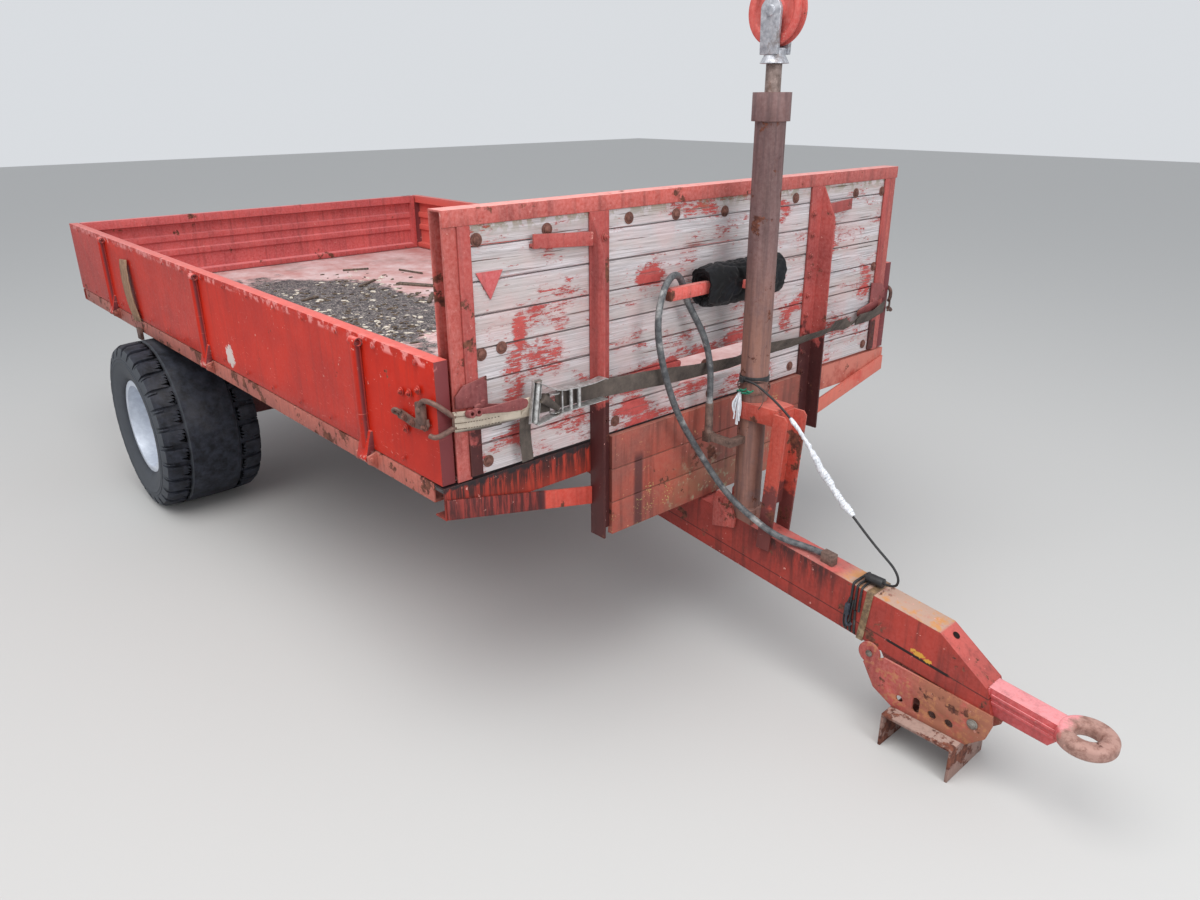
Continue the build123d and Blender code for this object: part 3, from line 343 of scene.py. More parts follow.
def ribbon(name, points, width, thickness):
    # A flat band: a route drawn point by point, drawn out by a vector and given its thickness
    piece = drawLine(name, points)
    bpy.ops.object.mode_set(mode="EDIT")
    bpy.ops.mesh.select_all(action="SELECT")
    bpy.ops.mesh.extrude_region_move(TRANSFORM_OT_translate={"value": Vector(width)})
    bpy.ops.object.mode_set(mode="OBJECT")
    divideEdges(piece, 3, lambda a, b: abs((b - a).normalized().dot(Vector(width).normalized())) > 0.99)
    modifier = piece.modifiers.new("wall", "SOLIDIFY")
    modifier.thickness = thickness
    modifier.offset = 0
    bpy.ops.object.modifier_apply(modifier="wall")
    return outwards(piece)


def roundOff(piece, levels=1):
    pick(piece)
    modifier = piece.modifiers.new("round", "SUBSURF")
    modifier.levels = levels
    modifier.render_levels = levels
    bpy.ops.object.modifier_apply(modifier="round")
    return smoothPiece(piece, 50)


def hexBolt(name, radius, height, washer=0.0, stud=0.0, sides=6):
    # Lies at the origin and points along X
    parts = [addRod(name, (0, 0, 0), (height, 0, 0), radius, sides, 0.0006)]
    if washer:
        parts.append(addRod(name + "Washer", (0, 0, 0), (0.0025, 0, 0), washer, 20, 0.0006))
    if stud:
        parts.append(addRod(name + "Stud", (0, 0, 0), (height + stud, 0, 0), radius * 0.55, 12, 0.0006))
    return joinPieces(name, parts)


def domeBolt(name, radius, height, washer):
    # A carriage bolt's round head on its washer
    parts = [
        addRod(name, (0, 0, 0), (height * 0.55, 0, 0), radius, 18),
        addRod(name + "Top", (height * 0.5, 0, 0), (height, 0, 0), radius, 18, 0, radius * 0.45),
        addRod(name + "Washer", (0, 0, 0), (0.002, 0, 0), washer, 20, 0.0006),
    ]
    return joinPieces(name, parts)


def pointing(spot, direction, roll=0.0):
    # From the origin and X to a spot and a direction
    turn = Vector(direction).to_track_quat("X", "Z").to_matrix().to_4x4()
    return Matrix.Translation(spot) @ turn @ Matrix.Rotation(roll, 4, "X")


def finishPiece(piece, body, material, replaces=()):
    piece.data.materials.clear()
    piece.data.materials.append(material)
    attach(piece, body)
    if replaces:
        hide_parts(*replaces)
    return piece


def turned(centre, axis, angle):
    centre = Vector(centre)
    return Matrix.Translation(centre) @ Matrix.Rotation(angle, 4, Vector(axis)) @ Matrix.Translation(-centre)


def dressNode(nodeName, material, bevel=0.0015, segments=2, angle=30):
    # A merged copy of the node with its edges eased stands for it
    mesh = nodes[nodeName].data.copy()
    piece = bpy.data.objects.new(nodeName + "Dressed", mesh)
    bpy.context.scene.collection.objects.link(piece)
    pick(piece)
    bpy.ops.object.mode_set(mode="EDIT")
    bpy.ops.mesh.select_all(action="SELECT")
    bpy.ops.mesh.remove_doubles(threshold=0.000005)
    bpy.ops.mesh.dissolve_limited(angle_limit=math.radians(0.5))
    bpy.ops.object.mode_set(mode="OBJECT")
    if bevel:
        bevelEdges(piece, bevel, segments, angle)
    smoothPiece(piece, 40)
    return finishPiece(piece, bodyOfNode[nodeName], material, [nodeName])


# Helpers for materials


def rgb(red, green, blue):
    # Screen values from 0 to 255 to linear light
    def linear(value):
        share = value / 255
        return share / 12.92 if share <= 0.04045 else ((share + 0.055) / 1.055) ** 2.4

    return (linear(red), linear(green), linear(blue), 1)


shading = {}  # holds the material that is being built


def newMaterial(name):
    material = bpy.data.materials.new(name)
    material.use_nodes = True
    shading["material"] = material


def feed(value, socket):
    if isinstance(value, bpy.types.NodeSocket):
        shading["material"].node_tree.links.new(value, socket)
    else:
        socket.default_value = value


def addNode(kind, inputs=None, **settings):
    node = shading["material"].node_tree.nodes.new(kind)
    for key, value in settings.items():
        setattr(node, key, value)
    for key, value in (inputs or {}).items():
        feed(value, node.inputs[key])
    return node


def objectCoords(stretch=(1, 1, 1), shift=(0, 0, 0)):
    coords = addNode("ShaderNodeTexCoord").outputs["Object"]
    inputs = {"Vector": coords, "Scale": stretch, "Location": shift}
    return addNode("ShaderNodeMapping", inputs).outputs["Vector"]


def remap(value, low, high, outLow=0.0, outHigh=1.0):
    inputs = {"Value": value, "From Min": low, "From Max": high, "To Min": outLow, "To Max": outHigh}
    return addNode("ShaderNodeMapRange", inputs).outputs["Result"]


def noise(scale, stretch=(1, 1, 1), shift=(0, 0, 0), detail=6, rough=0.6):
    inputs = {"Vector": objectCoords(stretch, shift), "Scale": scale, "Detail": detail, "Roughness": rough}
    return addNode("ShaderNodeTexNoise", inputs).outputs["Fac"]


def spots(scale, size, shift=(0, 0, 0)):
    # Round flecks, white inside
    cells = addNode("ShaderNodeTexVoronoi", {"Vector": objectCoords(shift=shift), "Scale": scale})
    return remap(cells.outputs["Distance"], size, size * 0.6)


def maths(kind, first, second=0.0):
    return addNode("ShaderNodeMath", {0: first, 1: second}, operation=kind).outputs[0]


def both(*masks):
    joined = masks[0]
    for mask in masks[1:]:
        joined = maths("MULTIPLY", joined, mask)
    return joined


def either(first, second):
    return maths("MAXIMUM", first, second)


def coat(mask, below, above):
    return addNode("ShaderNodeMix", {0: mask, 6: below, 7: above}, data_type="RGBA").outputs[2]


def alongAxis(axis, kind="Object"):
    coords = addNode("ShaderNodeTexCoord").outputs[kind]
    return addNode("ShaderNodeSeparateXYZ", {0: coords}).outputs["XYZ".index(axis)]


def bandMask(axis, low, high, soft):
    # White between low and high along an axis
    value = alongAxis(axis)
    return both(remap(value, low - soft, low + soft), remap(value, high + soft, high - soft))


def topMask():
    return remap(alongAxis("Z", "Normal"), 0.6, 0.95)


def edgeMask(radius):
    # White where a surface turns sharply
    bevel = addNode("ShaderNodeBevel", {"Radius": radius}, samples=4)
    geometry = addNode("ShaderNodeNewGeometry")
    normals = {0: bevel.outputs["Normal"], 1: geometry.outputs["Normal"]}
    dot = addNode("ShaderNodeVectorMath", normals, operation="DOT_PRODUCT")
    return remap(maths("SUBTRACT", 1.0, dot.outputs["Value"]), 0.01, 0.12)


def bumps(height, distance, strength, below=None):
    inputs = {"Strength": strength, "Distance": distance, "Height": height}
    if below is not None:
        inputs["Normal"] = below
    return addNode("ShaderNodeBump", inputs).outputs["Normal"]


def dressShader(colour, roughness, normal, metallic=0.0, specular=0.5, sheen=0.0):
    shader = shading["material"].node_tree.nodes["Principled BSDF"]
    inputs = {
        "Base Color": colour, "Roughness": roughness, "Metallic": metallic, "Normal": normal,
        "Specular IOR Level": specular, "Sheen Weight": sheen,
    }
    for key, value in inputs.items():
        feed(value, shader.inputs[key])
    return shading["material"]


rustDark = rgb(72, 44, 40)
rustLight = rgb(124, 76, 60)
grime = rgb(46, 36, 34)
lichenPale = rgb(196, 190, 120)


def rustColour():
    return coat(remap(noise(60, detail=8), 0.35, 0.65), rustDark, rustLight)


paintDefaults = {
    "patchScale": 5.0,  # size of the paler and darker stretches, per metre
    "fade": 0.7,  # how far faces that look up have bleached
    "rust": 0.60,  # how much paler faces that look up are: bleached paint, and partly a painted highlight of the sky
    "rustScale": 9.0,
    "streaks": 0.35,  # strength of the dirt that runs down
    "grain": 0.5,
    "chips": 0.66,
    "chipColour": rgb(206, 150, 140),
    "lichen": 0.0,
    "edge": 0.004,  # radius over which edges have worn, in metres
    "edgeWear": 0.8,
    "roughness": 0.5,
    "specular": 0.28,
    "dark": None,  # colour below darkLine, as on the feet of the uprights
    "darkLine": 1.07,
    "endDark": None,  # colour of faces that look forward; then faces towards the load are faded too
    "marks": None,  # a function that adds the marks of one place to the colour
    "seed": 0.0,
}


def overlay(colour, mask, shade, strength=1.0):
    if strength != 1.0:
        mask = maths("MULTIPLY", mask, strength)
    return coat(mask, colour, rgb(*shade))


def blotches(scale, low, high, shift=(0, 0, 0), stretch=(1, 1, 1)):
    return remap(noise(scale, stretch, shift, 8, 0.7), low, high)


def ragged(value, scale, amount):
    # A value that wavers, for an uneven edge
    return maths("ADD", value, remap(noise(scale), 0.3, 0.7, -amount, amount))


def ovalReach(centre, sizes):
    # Distance from a place in half sizes; an axis with no size doesn't count
    stretch = [1 / size if size else 0 for size in sizes]
    scaled = objectCoords(stretch, [-at * share for at, share in zip(centre, stretch)])
    return addNode("ShaderNodeVectorMath", {0: scaled}, operation="LENGTH").outputs["Value"]


def reachOf():
    return maths("SUBTRACT", alongAxis("X"), bedFront)


# The drawbar's side at the front of the bed: heights of its upper edge and of its seam, its depth and its fall
drawbarLine = {"top": 0.565, "seam": 0.4375, "depth": 0.170, "slope": 0.116}
ochreFlecks = [(0.925, 0.343, 0.024, 0.010), (0.956, 0.336, 0.016, 0.008), (0.905, 0.351, 0.010, 0.005)]


def drawbarMarks(colour):
    # The level is taken square to the sloping beam, so that the seam follows it
    reach = reachOf()
    level = maths("ADD", alongAxis("Z"), maths("MULTIPLY", reach, drawbarLine["slope"]))
    top = remap(level, 0.5625, 0.5642)
    weak = both(top, remap(reach, 0.22, 0.30), remap(reach, 0.64, 0.58), blotches(14, 0.40, 0.55))
    colour = overlay(colour, weak, (150, 110, 104), 0.5)
    worn = both(top, remap(reach, 0.60, 0.66), remap(reach, 0.985, 0.972))
    thin = both(worn, blotches(16, 0.28, 0.44, (5, 1, 0), (1, 2, 1)))
    colour = overlay(colour, thin, (172, 146, 130), 0.92)
    colour = overlay(colour, both(worn, blotches(20, 0.50, 0.58, (1, 0, 2))), (190, 130, 70), 0.8)
    sooty = both(remap(reach, 0.20, 0.30), remap(reach, 0.66, 0.56), remap(level, 0.44, 0.55))
    sooty = both(sooty, remap(level, 0.5650, 0.5636))
    tar = both(sooty, blotches(1, 0.34, 0.54, (0, 3, 1), (46, 46, 10)))
    colour = overlay(colour, tar, (50, 34, 34), 0.9)
    off = maths("ABSOLUTE", maths("SUBTRACT", level, drawbarLine["seam"]))
    colour = overlay(colour, remap(off, 0.0028, 0.0012), (54, 30, 30), 0.8)
    # Painted shade: a near-black band along the seam stands for the shade inside the slot there
    slotShade = both(remap(off, 0.0058, 0.0040), remap(reach, 0.806, 0.816), remap(reach, 1.030, 1.020))
    colour = overlay(colour, slotShade, (30, 22, 22))
    for x, z, wide, high in ochreFlecks:
        fleck = ragged(ovalReach((bedFront + x, 0, z), (wide, 0, high)), 95, 0.6)
        colour = overlay(colour, remap(fleck, 0.95, 0.75), (196, 148, 58), 0.9)
    return colour


def plateMarks(colour):
    reach = reachOf()
    rusted = both(remap(reach, 0.86, 0.98), blotches(12, 0.36, 0.50))
    colour = overlay(colour, rusted, (148, 98, 76), 0.85)
    edgeRun = both(remap(reach, 0.30, 0.42), blotches(26, 0.54, 0.60, (2, 0, 7)))
    return overlay(colour, edgeRun, (176, 120, 84), 0.7)


def tongueMarks(colour):
    ring = remap(ragged(reachOf(), 26, 0.02), 1.352, 1.372)
    colour = overlay(colour, ring, (168, 132, 122))
    return overlay(colour, both(ring, blotches(38, 0.45, 0.6)), (124, 88, 78), 0.8)


def drips(scale, low, high, top, foot):
    # Streaks that run down and thin out between two heights
    runs = blotches(1, low, high, (3, 1, 0), (scale, scale, scale / 13))
    return both(runs, remap(alongAxis("Z"), foot, top))


def beamMarks(colour):
    # Tar runs over the right half of the front beam, the left half is clean and bleached
    right = both(remap(reachOf(), -1.2, -1.0), remap(alongAxis("Y"), 0.50, 0.30))
    left = both(remap(alongAxis("Y"), 0.30, 0.50), blotches(9, 0.30, 0.50))
    colour = overlay(colour, left, (206, 128, 112), 0.75)
    colour = overlay(colour, both(right, drips(62, 0.42, 0.53, 0.885, 0.79)), (36, 26, 26), 0.88)
    lip = both(right, remap(ragged(alongAxis("Z"), 30, 0.014), 0.904, 0.912))
    return overlay(colour, lip, (28, 26, 30), 0.9)


def braceMarks(colour):
    # The right brace's outer half is dark with tar, the left one is bleached all along
    across = maths("MULTIPLY", alongAxis("Y"), -1.0)
    left = both(remap(across, -0.1, -0.2), blotches(9, 0.30, 0.50))
    colour = overlay(colour, left, (208, 124, 108), 0.7)
    outer = remap(across, 0.775, 0.790)
    colour = overlay(colour, outer, (128, 50, 46), 0.85)
    stained = both(outer, blotches(1, 0.42, 0.56, (3, 1, 0), (62, 62, 6)))
    colour = overlay(colour, stained, (44, 30, 32), 0.8)
    seam = both(remap(across, 0.768, 0.776), remap(across, 0.800, 0.792))
    return overlay(colour, seam, (52, 36, 40), 0.85)


def panelMarks(colour):
    # Brown stain running down the middle and green-grey growth at the foot
    height = alongAxis("Z")
    stain = both(bandMask("Y", -0.402, -0.362, 0.006), remap(height, 0.85, 0.82))
    stain = both(stain, blotches(1, 0.30, 0.40, (1, 1, 1), (60, 60, 8)))
    colour = overlay(colour, stain, (84, 52, 52), 0.9)
    growth = both(remap(height, 0.78, 0.66), remap(alongAxis("Y"), -0.30, -0.16))
    colour = overlay(colour, both(growth, blotches(10, 0.40, 0.56, (6, 2, 2))), (142, 100, 80), 0.75)
    colour = overlay(colour, both(growth, blotches(26, 0.56, 0.62, (1, 3, 8))), (156, 152, 128), 0.85)
    return overlay(colour, blotches(34, 0.64, 0.67, (3, 8, 1)), (214, 160, 116), 0.9)


def boardMarks(colour):
    # Bare silvery spot on the near board, chips along the foot and pale scratches low down
    height = alongAxis("Z")
    near = both(remap(alongAxis("Y"), -1.10, -1.12), remap(alongAxis("Y", "Normal"), 0.1, -0.3))
    bare = ragged(ovalReach((bedFront - 1.557, 0, 0.99), (0.048, 0, 0.044)), 60, 0.35)
    colour = overlay(colour, both(near, remap(bare, 0.98, 0.86)), (204, 194, 190), 0.9)
    chipped = both(remap(height, 0.930, 0.896), blotches(34, 0.54, 0.58, (4, 1, 1)))
    colour = overlay(colour, chipped, (218, 190, 180), 0.8)
    scratched = both(bandMask("Z", 0.93, 1.10, 0.03), blotches(1, 0.62, 0.66, (0, 0, 4), (26, 1, 150)))
    colour = overlay(colour, scratched, (224, 132, 118), 0.7)
    worn = both(near, remap(height, 1.262, 1.272), blotches(22, 0.50, 0.56, (1, 6, 1)))
    return overlay(colour, worn, (226, 142, 138), 0.8)


def mastMarks(colour):
    # Greyer above, rusty brown below, with long dark runs
    low = both(remap(alongAxis("Z"), 1.50, 1.20), blotches(12, 0.30, 0.50))
    colour = overlay(colour, low, (156, 108, 88), 0.5)
    return overlay(colour, blotches(1, 0.48, 0.60, (1, 1, 1), (60, 60, 3)), (82, 64, 66), 0.45)


def agedPaint(name, paint, paintToo, paleTone, **changes):
    look = {**paintDefaults, **changes}
    seed = look["seed"]
    paleTone = rgb(*paleTone)
    newMaterial(name)
    patches = remap(noise(look["patchScale"], shift=(seed, 0, 0), detail=4), 0.38, 0.64)
    colour = coat(patches, rgb(*paint), rgb(*paintToo))
    fine = noise(90, detail=6, rough=0.7, shift=(0, seed, 0))
    colour = coat(remap(fine, 0.3, 0.75, 0.0, look["grain"]), colour, paleTone)
    # Painted highlight: faces that look up are made paler, partly bleached paint and partly the sky's light painted
    # into the colour
    bleachAndSheen = both(topMask(), remap(fine, 0.2, 0.5, look["fade"] * 0.6, look["fade"]))
    colour = coat(bleachAndSheen, colour, paleTone)
    streaks = noise(1, stretch=(38, 38, 2.2), shift=(seed, seed, 0), detail=5, rough=0.65)
    colour = coat(remap(streaks, 0.5, 0.72, 0.0, look["streaks"]), colour, grime)
    if look["endDark"]:
        ends = remap(alongAxis("X", "Normal"), 0.7, 0.95, 0.0, 0.9)
        colour = coat(ends, colour, rgb(*look["endDark"]))
        inward = both(alongAxis("Y"), alongAxis("Y", "Normal"))
        colour = coat(remap(inward, -0.3, -0.8, 0.0, 0.6), colour, paleTone)
    if look["dark"]:
        line = look["darkLine"]
        low = remap(ragged(alongAxis("Z"), 24, 0.08), line + 0.02, line - 0.02, 0.0, 0.85)
        colour = coat(low, colour, rgb(*look["dark"]))
    if look["marks"]:
        colour = look["marks"](colour)
    chips = noise(45, detail=5, rough=0.75, shift=(0, 0, seed))
    colour = coat(remap(chips, look["chips"], look["chips"] + 0.02), colour, look["chipColour"])
    rustNoise = noise(look["rustScale"], detail=9, rough=0.68, shift=(seed, seed, seed))
    rust = remap(rustNoise, look["rust"], look["rust"] + 0.03)
    worn = both(edgeMask(look["edge"]), remap(fine, 0.42, 0.56, 0, look["edgeWear"]))
    rust = either(rust, worn)
    colour = coat(rust, colour, rustColour())
    if look["lichen"]:
        spread = noise(7, shift=(0, seed, 3), detail=5)
        spread = remap(spread, 0.62 - look["lichen"], 0.70 - look["lichen"])
        colour = coat(both(spots(130, 0.35, (seed, 0, 0)), spread), colour, lichenPale)
    relief = maths("ADD", maths("MULTIPLY", fine, 0.25), maths("MULTIPLY", rust, -0.5))
    dents = noise(3.2, detail=2, shift=(seed, 2, 0))
    normal = bumps(relief, 0.0012, 0.7, bumps(dents, 0.012, 0.5))
    gloss = remap(fine, 0.3, 0.7, look["roughness"] - 0.08, look["roughness"] + 0.12)
    roughness = either(gloss, maths("MULTIPLY", rust, 0.9))
    return dressShader(colour, roughness, normal, specular=look["specular"])


frameRed = agedPaint("frameRed", (170, 62, 52), (150, 52, 46), (206, 116, 110), seed=1.3, rust=0.62)
postRed = agedPaint(
    "postRed", (182, 74, 64), (154, 62, 56), (226, 152, 146), seed=1.9, rust=0.6, streaks=0.4, fade=0.95
)
uprightRed = agedPaint(
    "uprightRed", (166, 66, 60), (136, 50, 48), (200, 122, 118), seed=3.1, rust=0.6, streaks=0.4, dark=(
        42, 25, 27
    )
)
braceRed = agedPaint(
    "braceRed", (206, 74, 58), (182, 60, 50), (214, 116, 104), seed=5.9, rust=0.62, streaks=0.3, marks=braceMarks
)
boardRed = agedPaint(
    "boardRed", (190, 34, 8), (172, 26, 6), (222, 116, 108), seed=4.1, rust=0.655, grain=0.08, roughness=0.40,
    streaks=0.2, specular=0.24, endDark=(104, 54, 58), marks=boardMarks,
)
gateRed = agedPaint(
    "gateRed", (188, 74, 70), (166, 60, 60), (220, 134, 136), seed=4.9, rust=0.62, streaks=0.35
)
railRust = agedPaint(
    "railRust", (170, 88, 74), (142, 70, 60), (198, 132, 120), seed=7.7, rust=0.55, streaks=0.5
)
darkRed = agedPaint("darkRed", (96, 46, 44), (78, 36, 38), (130, 80, 80), seed=2.4, rust=0.56)
drawbarRed = agedPaint(
    "drawbarRed", (152, 50, 40), (118, 42, 36), (196, 100, 94), seed=5.2, rust=0.60, streaks=0.5, fade=0.75,
    grain=0.25, marks=drawbarMarks,
)
plateRed = agedPaint(
    "plateRed", (172, 66, 58), (148, 56, 52), (208, 136, 128), seed=6.6, rust=0.60, rustScale=12, marks=plateMarks
)
panelRed = agedPaint(
    "panelRed", (166, 76, 62), (132, 74, 66), (178, 124, 110), seed=8.4, rust=0.60, lichen=0.02, streaks=0.6,
    grain=0.3, marks=panelMarks,
)
beamRed = agedPaint(
    "beamRed", (176, 56, 38), (148, 46, 36), (120, 60, 52), seed=3.6, rust=0.62, streaks=0.6, grain=0.3,
    marks=beamMarks,
)
latchMaroon = agedPaint("latchMaroon", (132, 62, 62), (106, 50, 52), (166, 104, 102), seed=7.1, rust=0.6)
mastBrown = agedPaint(
    "mastBrown", (112, 82, 80), (94, 70, 72), (152, 128, 126), seed=6.1, rust=0.59, rustScale=14, chips=0.72,
    marks=mastMarks,
)
pinkRed = agedPaint("pinkRed", (196, 76, 66), (176, 64, 58), (222, 142, 136), seed=9.0, rust=0.6)
tongueRed = agedPaint(
    "tongueRed", (198, 76, 74), (176, 62, 62), (228, 152, 156), seed=9.4, rust=0.63, grain=0.35, fade=0.85,
    marks=tongueMarks,
)
propRed = agedPaint(
    "propRed", (184, 66, 50), (150, 56, 46), (206, 116, 104), seed=2.2, rust=0.58, dark=(92, 52, 52), darkLine=0.69
)
rustedPlate = agedPaint(
    "rustedPlate", (136, 102, 92), (110, 84, 78), (172, 148, 138), seed=2.9, rust=0.52, chips=0.7
)


def placedPatches(patches):
    # Soft ovals on the front of the bed, each at (y, z, half width, half height)
    joined = 0.0
    for y, z, wide, high in patches:
        joined = either(joined, remap(ovalReach((0, y, z), (0, wide, high)), 1.15, 0.45))
    return joined


# Where the planks have kept their paint
paintedPatches = [
    (-0.30, 1.105, 0.20, 0.035),
    (-0.03, 1.128, 0.20, 0.032),
    (0.16, 1.150, 0.10, 0.030),
    (-0.36, 1.062, 0.12, 0.018),
    (-0.40, 0.985, 0.10, 0.045),
    (-0.10, 1.000, 0.14, 0.030),
    (-0.30, 0.945, 0.16, 0.022),
    (-0.10, 1.612, 0.17, 0.050),
    (0.06, 1.640, 0.22, 0.030),
    (-0.32, 1.420, 0.07, 0.045),
    (-0.74, 1.235, 0.10, 0.070),
    (-0.68, 1.330, 0.04, 0.030),
    (-0.87, 1.190, 0.05, 0.110),
    (-0.84, 1.330, 0.03, 0.060),
    (-0.85, 1.020, 0.055, 0.040),
    (-0.66, 1.010, 0.09, 0.040),
    (-0.70, 1.095, 0.12, 0.022),
    (0.50, 1.215, 0.08, 0.050),
    (0.62, 1.300, 0.09, 0.040),
    (0.665, 1.450, 0.022, 0.110),
    (0.33, 1.560, 0.07, 0.060),
    (0.40, 1.160, 0.06, 0.060),
    (0.75, 1.080, 0.12, 0.060),
    (0.92, 1.240, 0.05, 0.090),
]


def plankWood(name):
    newMaterial(name)
    grain = noise(1, stretch=(220, 5, 300), detail=7, rough=0.7)
    bands = noise(1, stretch=(20, 0.8, 26), detail=5)
    colour = coat(remap(grain, 0.3, 0.7), rgb(140, 133, 134), rgb(230, 224, 228))
    colour = coat(remap(bands, 0.4, 0.62, 0, 0.55), colour, rgb(178, 165, 160))
    cracks = remap(noise(1, stretch=(90, 2.6, 150), detail=4, rough=0.5, shift=(3, 1, 2)), 0.36, 0.31)
    colour = coat(cracks, colour, rgb(96, 80, 74))
    tint = remap(noise(6, shift=(5, 5, 5), detail=5), 0.45, 0.62, 0, 0.45)
    tint = maths("MULTIPLY", tint, 0.6)
    colour = coat(tint, colour, rgb(216, 172, 170))
    blots = noise(7.5, stretch=(1, 0.8, 1.5), detail=9, rough=0.74, shift=(11, 2.2, 4))
    low = remap(alongAxis("Z"), 1.5, 0.95, -0.03, 0.0)
    keep = maths("ADD", blots, low)
    kept = maths("MULTIPLY", placedPatches(paintedPatches), 0.17)
    keep = maths("ADD", keep, kept)
    torn = remap(grain, 0.3, 0.7, -0.12, 0.12)
    specks = remap(noise(1, stretch=(90, 34, 150), detail=6, rough=0.8), 0.35, 0.65, -0.09, 0.09)
    keep = maths("ADD", keep, specks)
    flakes = remap(maths("ADD", keep, torn), 0.60, 0.615)
    flakes = maths("MULTIPLY", flakes, remap(cracks, 0.0, 1.0, 1.0, 0.25))
    red = coat(remap(noise(40, detail=5), 0.4, 0.6), rgb(164, 40, 36), rgb(190, 66, 62))
    colour = coat(flakes, colour, red)
    # A thin rosy stain is left around the flakes
    stain = remap(keep, 0.50, 0.62, 0.0, 0.34)
    colour = coat(stain, colour, rgb(198, 110, 106))
    moss = remap(noise(30, detail=6, shift=(2, 9, 1)), 0.5, 0.56)
    mossPlace = both(remap(alongAxis("Z"), 1.60, 1.66), moss)
    colour = coat(mossPlace, colour, rgb(120, 112, 66))
    relief = maths("ADD", grain, maths("MULTIPLY", flakes, 0.5))
    relief = maths("SUBTRACT", relief, maths("MULTIPLY", cracks, 0.8))
    return dressShader(colour, 0.82, bumps(relief, 0.0018, 0.8))


plankGrey = plankWood("plankGrey")


def bedFloorPaint(name):
    newMaterial(name)
    wear = remap(noise(6, detail=9, rough=0.7), 0.38, 0.66)
    colour = coat(wear, rgb(200, 150, 146), rgb(226, 206, 206))
    # Wet dirt lies in a long patch towards the right side
    oval = ovalReach((bedFront - 2.30, -0.42, 0), (1.08, 0.63, 0))
    drift = remap(noise(3.2, detail=10, rough=0.72, shift=(2, 1, 0)), 0.3, 0.7, -0.42, 0.42)
    dirt = remap(maths("ADD", oval, drift), 1.04, 0.86)
    dust = remap(noise(2.4, detail=10, rough=0.7, shift=(7, 1, 0)), 0.56, 0.66, 0.0, 0.45)
    colour = coat(dust, colour, rgb(150, 128, 122))
    mottle = remap(noise(26, detail=9, rough=0.75, shift=(1, 1, 0)), 0.42, 0.62)
    soil = coat(mottle, rgb(54, 50, 54), rgb(122, 114, 114))
    colour = coat(dirt, colour, soil)
    crumbs = spots(70, 0.34)
    colour = coat(both(dirt, crumbs), colour, rgb(178, 170, 160))
    height = maths("ADD", maths("MULTIPLY", dirt, 0.6), noise(60, detail=6))
    return dressShader(colour, 0.85, bumps(height, 0.004, 0.8))


floorWorn = bedFloorPaint("floorWorn")


def tyreRubber(name):
    newMaterial(name)
    mottle = noise(22, detail=8, rough=0.7)
    colour = coat(remap(mottle, 0.38, 0.68), rgb(16, 18, 25), rgb(50, 54, 66))
    dust = remap(noise(5, detail=6, shift=(3, 0, 0)), 0.5, 0.7, 0, 0.35)
    colour = coat(dust, colour, rgb(84, 84, 88))
    # The sidewalls are paler
    side = remap(alongAxis("Y", "Normal"), -0.5, -0.95)
    otherSide = remap(alongAxis("Y", "Normal"), 0.5, 0.95)
    colour = coat(maths("MULTIPLY", either(side, otherSide), 0.75), colour, rgb(80, 84, 90))
    return dressShader(colour, 0.72, bumps(mottle, 0.0012, 0.6), specular=0.35)


tyreBlack = tyreRubber("tyreBlack")


def plainMetal(name, bright, dull, roughness, metallic=1.0, scale=40, stain=None):
    newMaterial(name)
    mottle = noise(scale, detail=7, rough=0.65)
    colour = coat(remap(mottle, 0.35, 0.65), rgb(*dull), rgb(*bright))
    if stain:
        spread = remap(noise(11, detail=8, rough=0.7, shift=(4, 4, 0)), 0.55, 0.64)
        colour = coat(spread, colour, rgb(*stain))
    rough = remap(mottle, 0.3, 0.7, roughness + 0.12, roughness - 0.08)
    return dressShader(colour, rough, bumps(mottle, 0.0008, 0.5), metallic)


rimSilver = plainMetal("rimSilver", (214, 221, 232), (192, 199, 212), 0.42, 0.25, 25)
castZinc = plainMetal("castZinc", (196, 198, 204), (140, 142, 150), 0.5, 0.55, 60, (128, 116, 112))
bareSteel = plainMetal("bareSteel", (146, 128, 122), (100, 84, 78), 0.5, 0.4, 50, (96, 66, 54))
brightZinc = plainMetal("brightZinc", (214, 214, 214), (150, 148, 146), 0.38, 0.7, 70, (134, 126, 118))
hookBrown = plainMetal("hookBrown", (122, 92, 82), (84, 60, 54), 0.6, 0.2, 60, (70, 46, 40))
boltRust = plainMetal("boltRust", (128, 84, 72), (86, 54, 48), 0.75, 0.1, 70, (64, 40, 36))
fittingBrown = plainMetal("fittingBrown", (128, 104, 94), (84, 66, 60), 0.6, 0.2, 50, (66, 50, 46))
hubDull = plainMetal("hubDull", (150, 146, 140), (96, 84, 76), 0.55, 0.4, 45, (112, 72, 54))


def cordRubber(name, dark, light, worn):
    newMaterial(name)
    scuffs = noise(55, detail=7, rough=0.75)
    colour = coat(remap(scuffs, 0.4, 0.62), rgb(*dark), rgb(*light))
    marks = remap(noise(16, detail=6, shift=(2, 2, 2)), 0.56, 0.66)
    colour = coat(marks, colour, rgb(*worn))
    return dressShader(colour, 0.55, bumps(scuffs, 0.0006, 0.6))


# The hose's grey is partly greyed old rubber and partly a painted sheen of the sky on black rubber
hoseGreyAndSheen = cordRubber("hoseGreyAndSheen", (62, 64, 68), (104, 106, 108), (150, 150, 150))
cableBlack = cordRubber("cableBlack", (26, 26, 28), (44, 44, 46), (78, 76, 74))
tieBrown = cordRubber("tieBrown", (92, 72, 54), (138, 112, 82), (160, 138, 108))
hookBlue = cordRubber("hookBlue", (36, 40, 50), (58, 64, 76), (96, 100, 108))


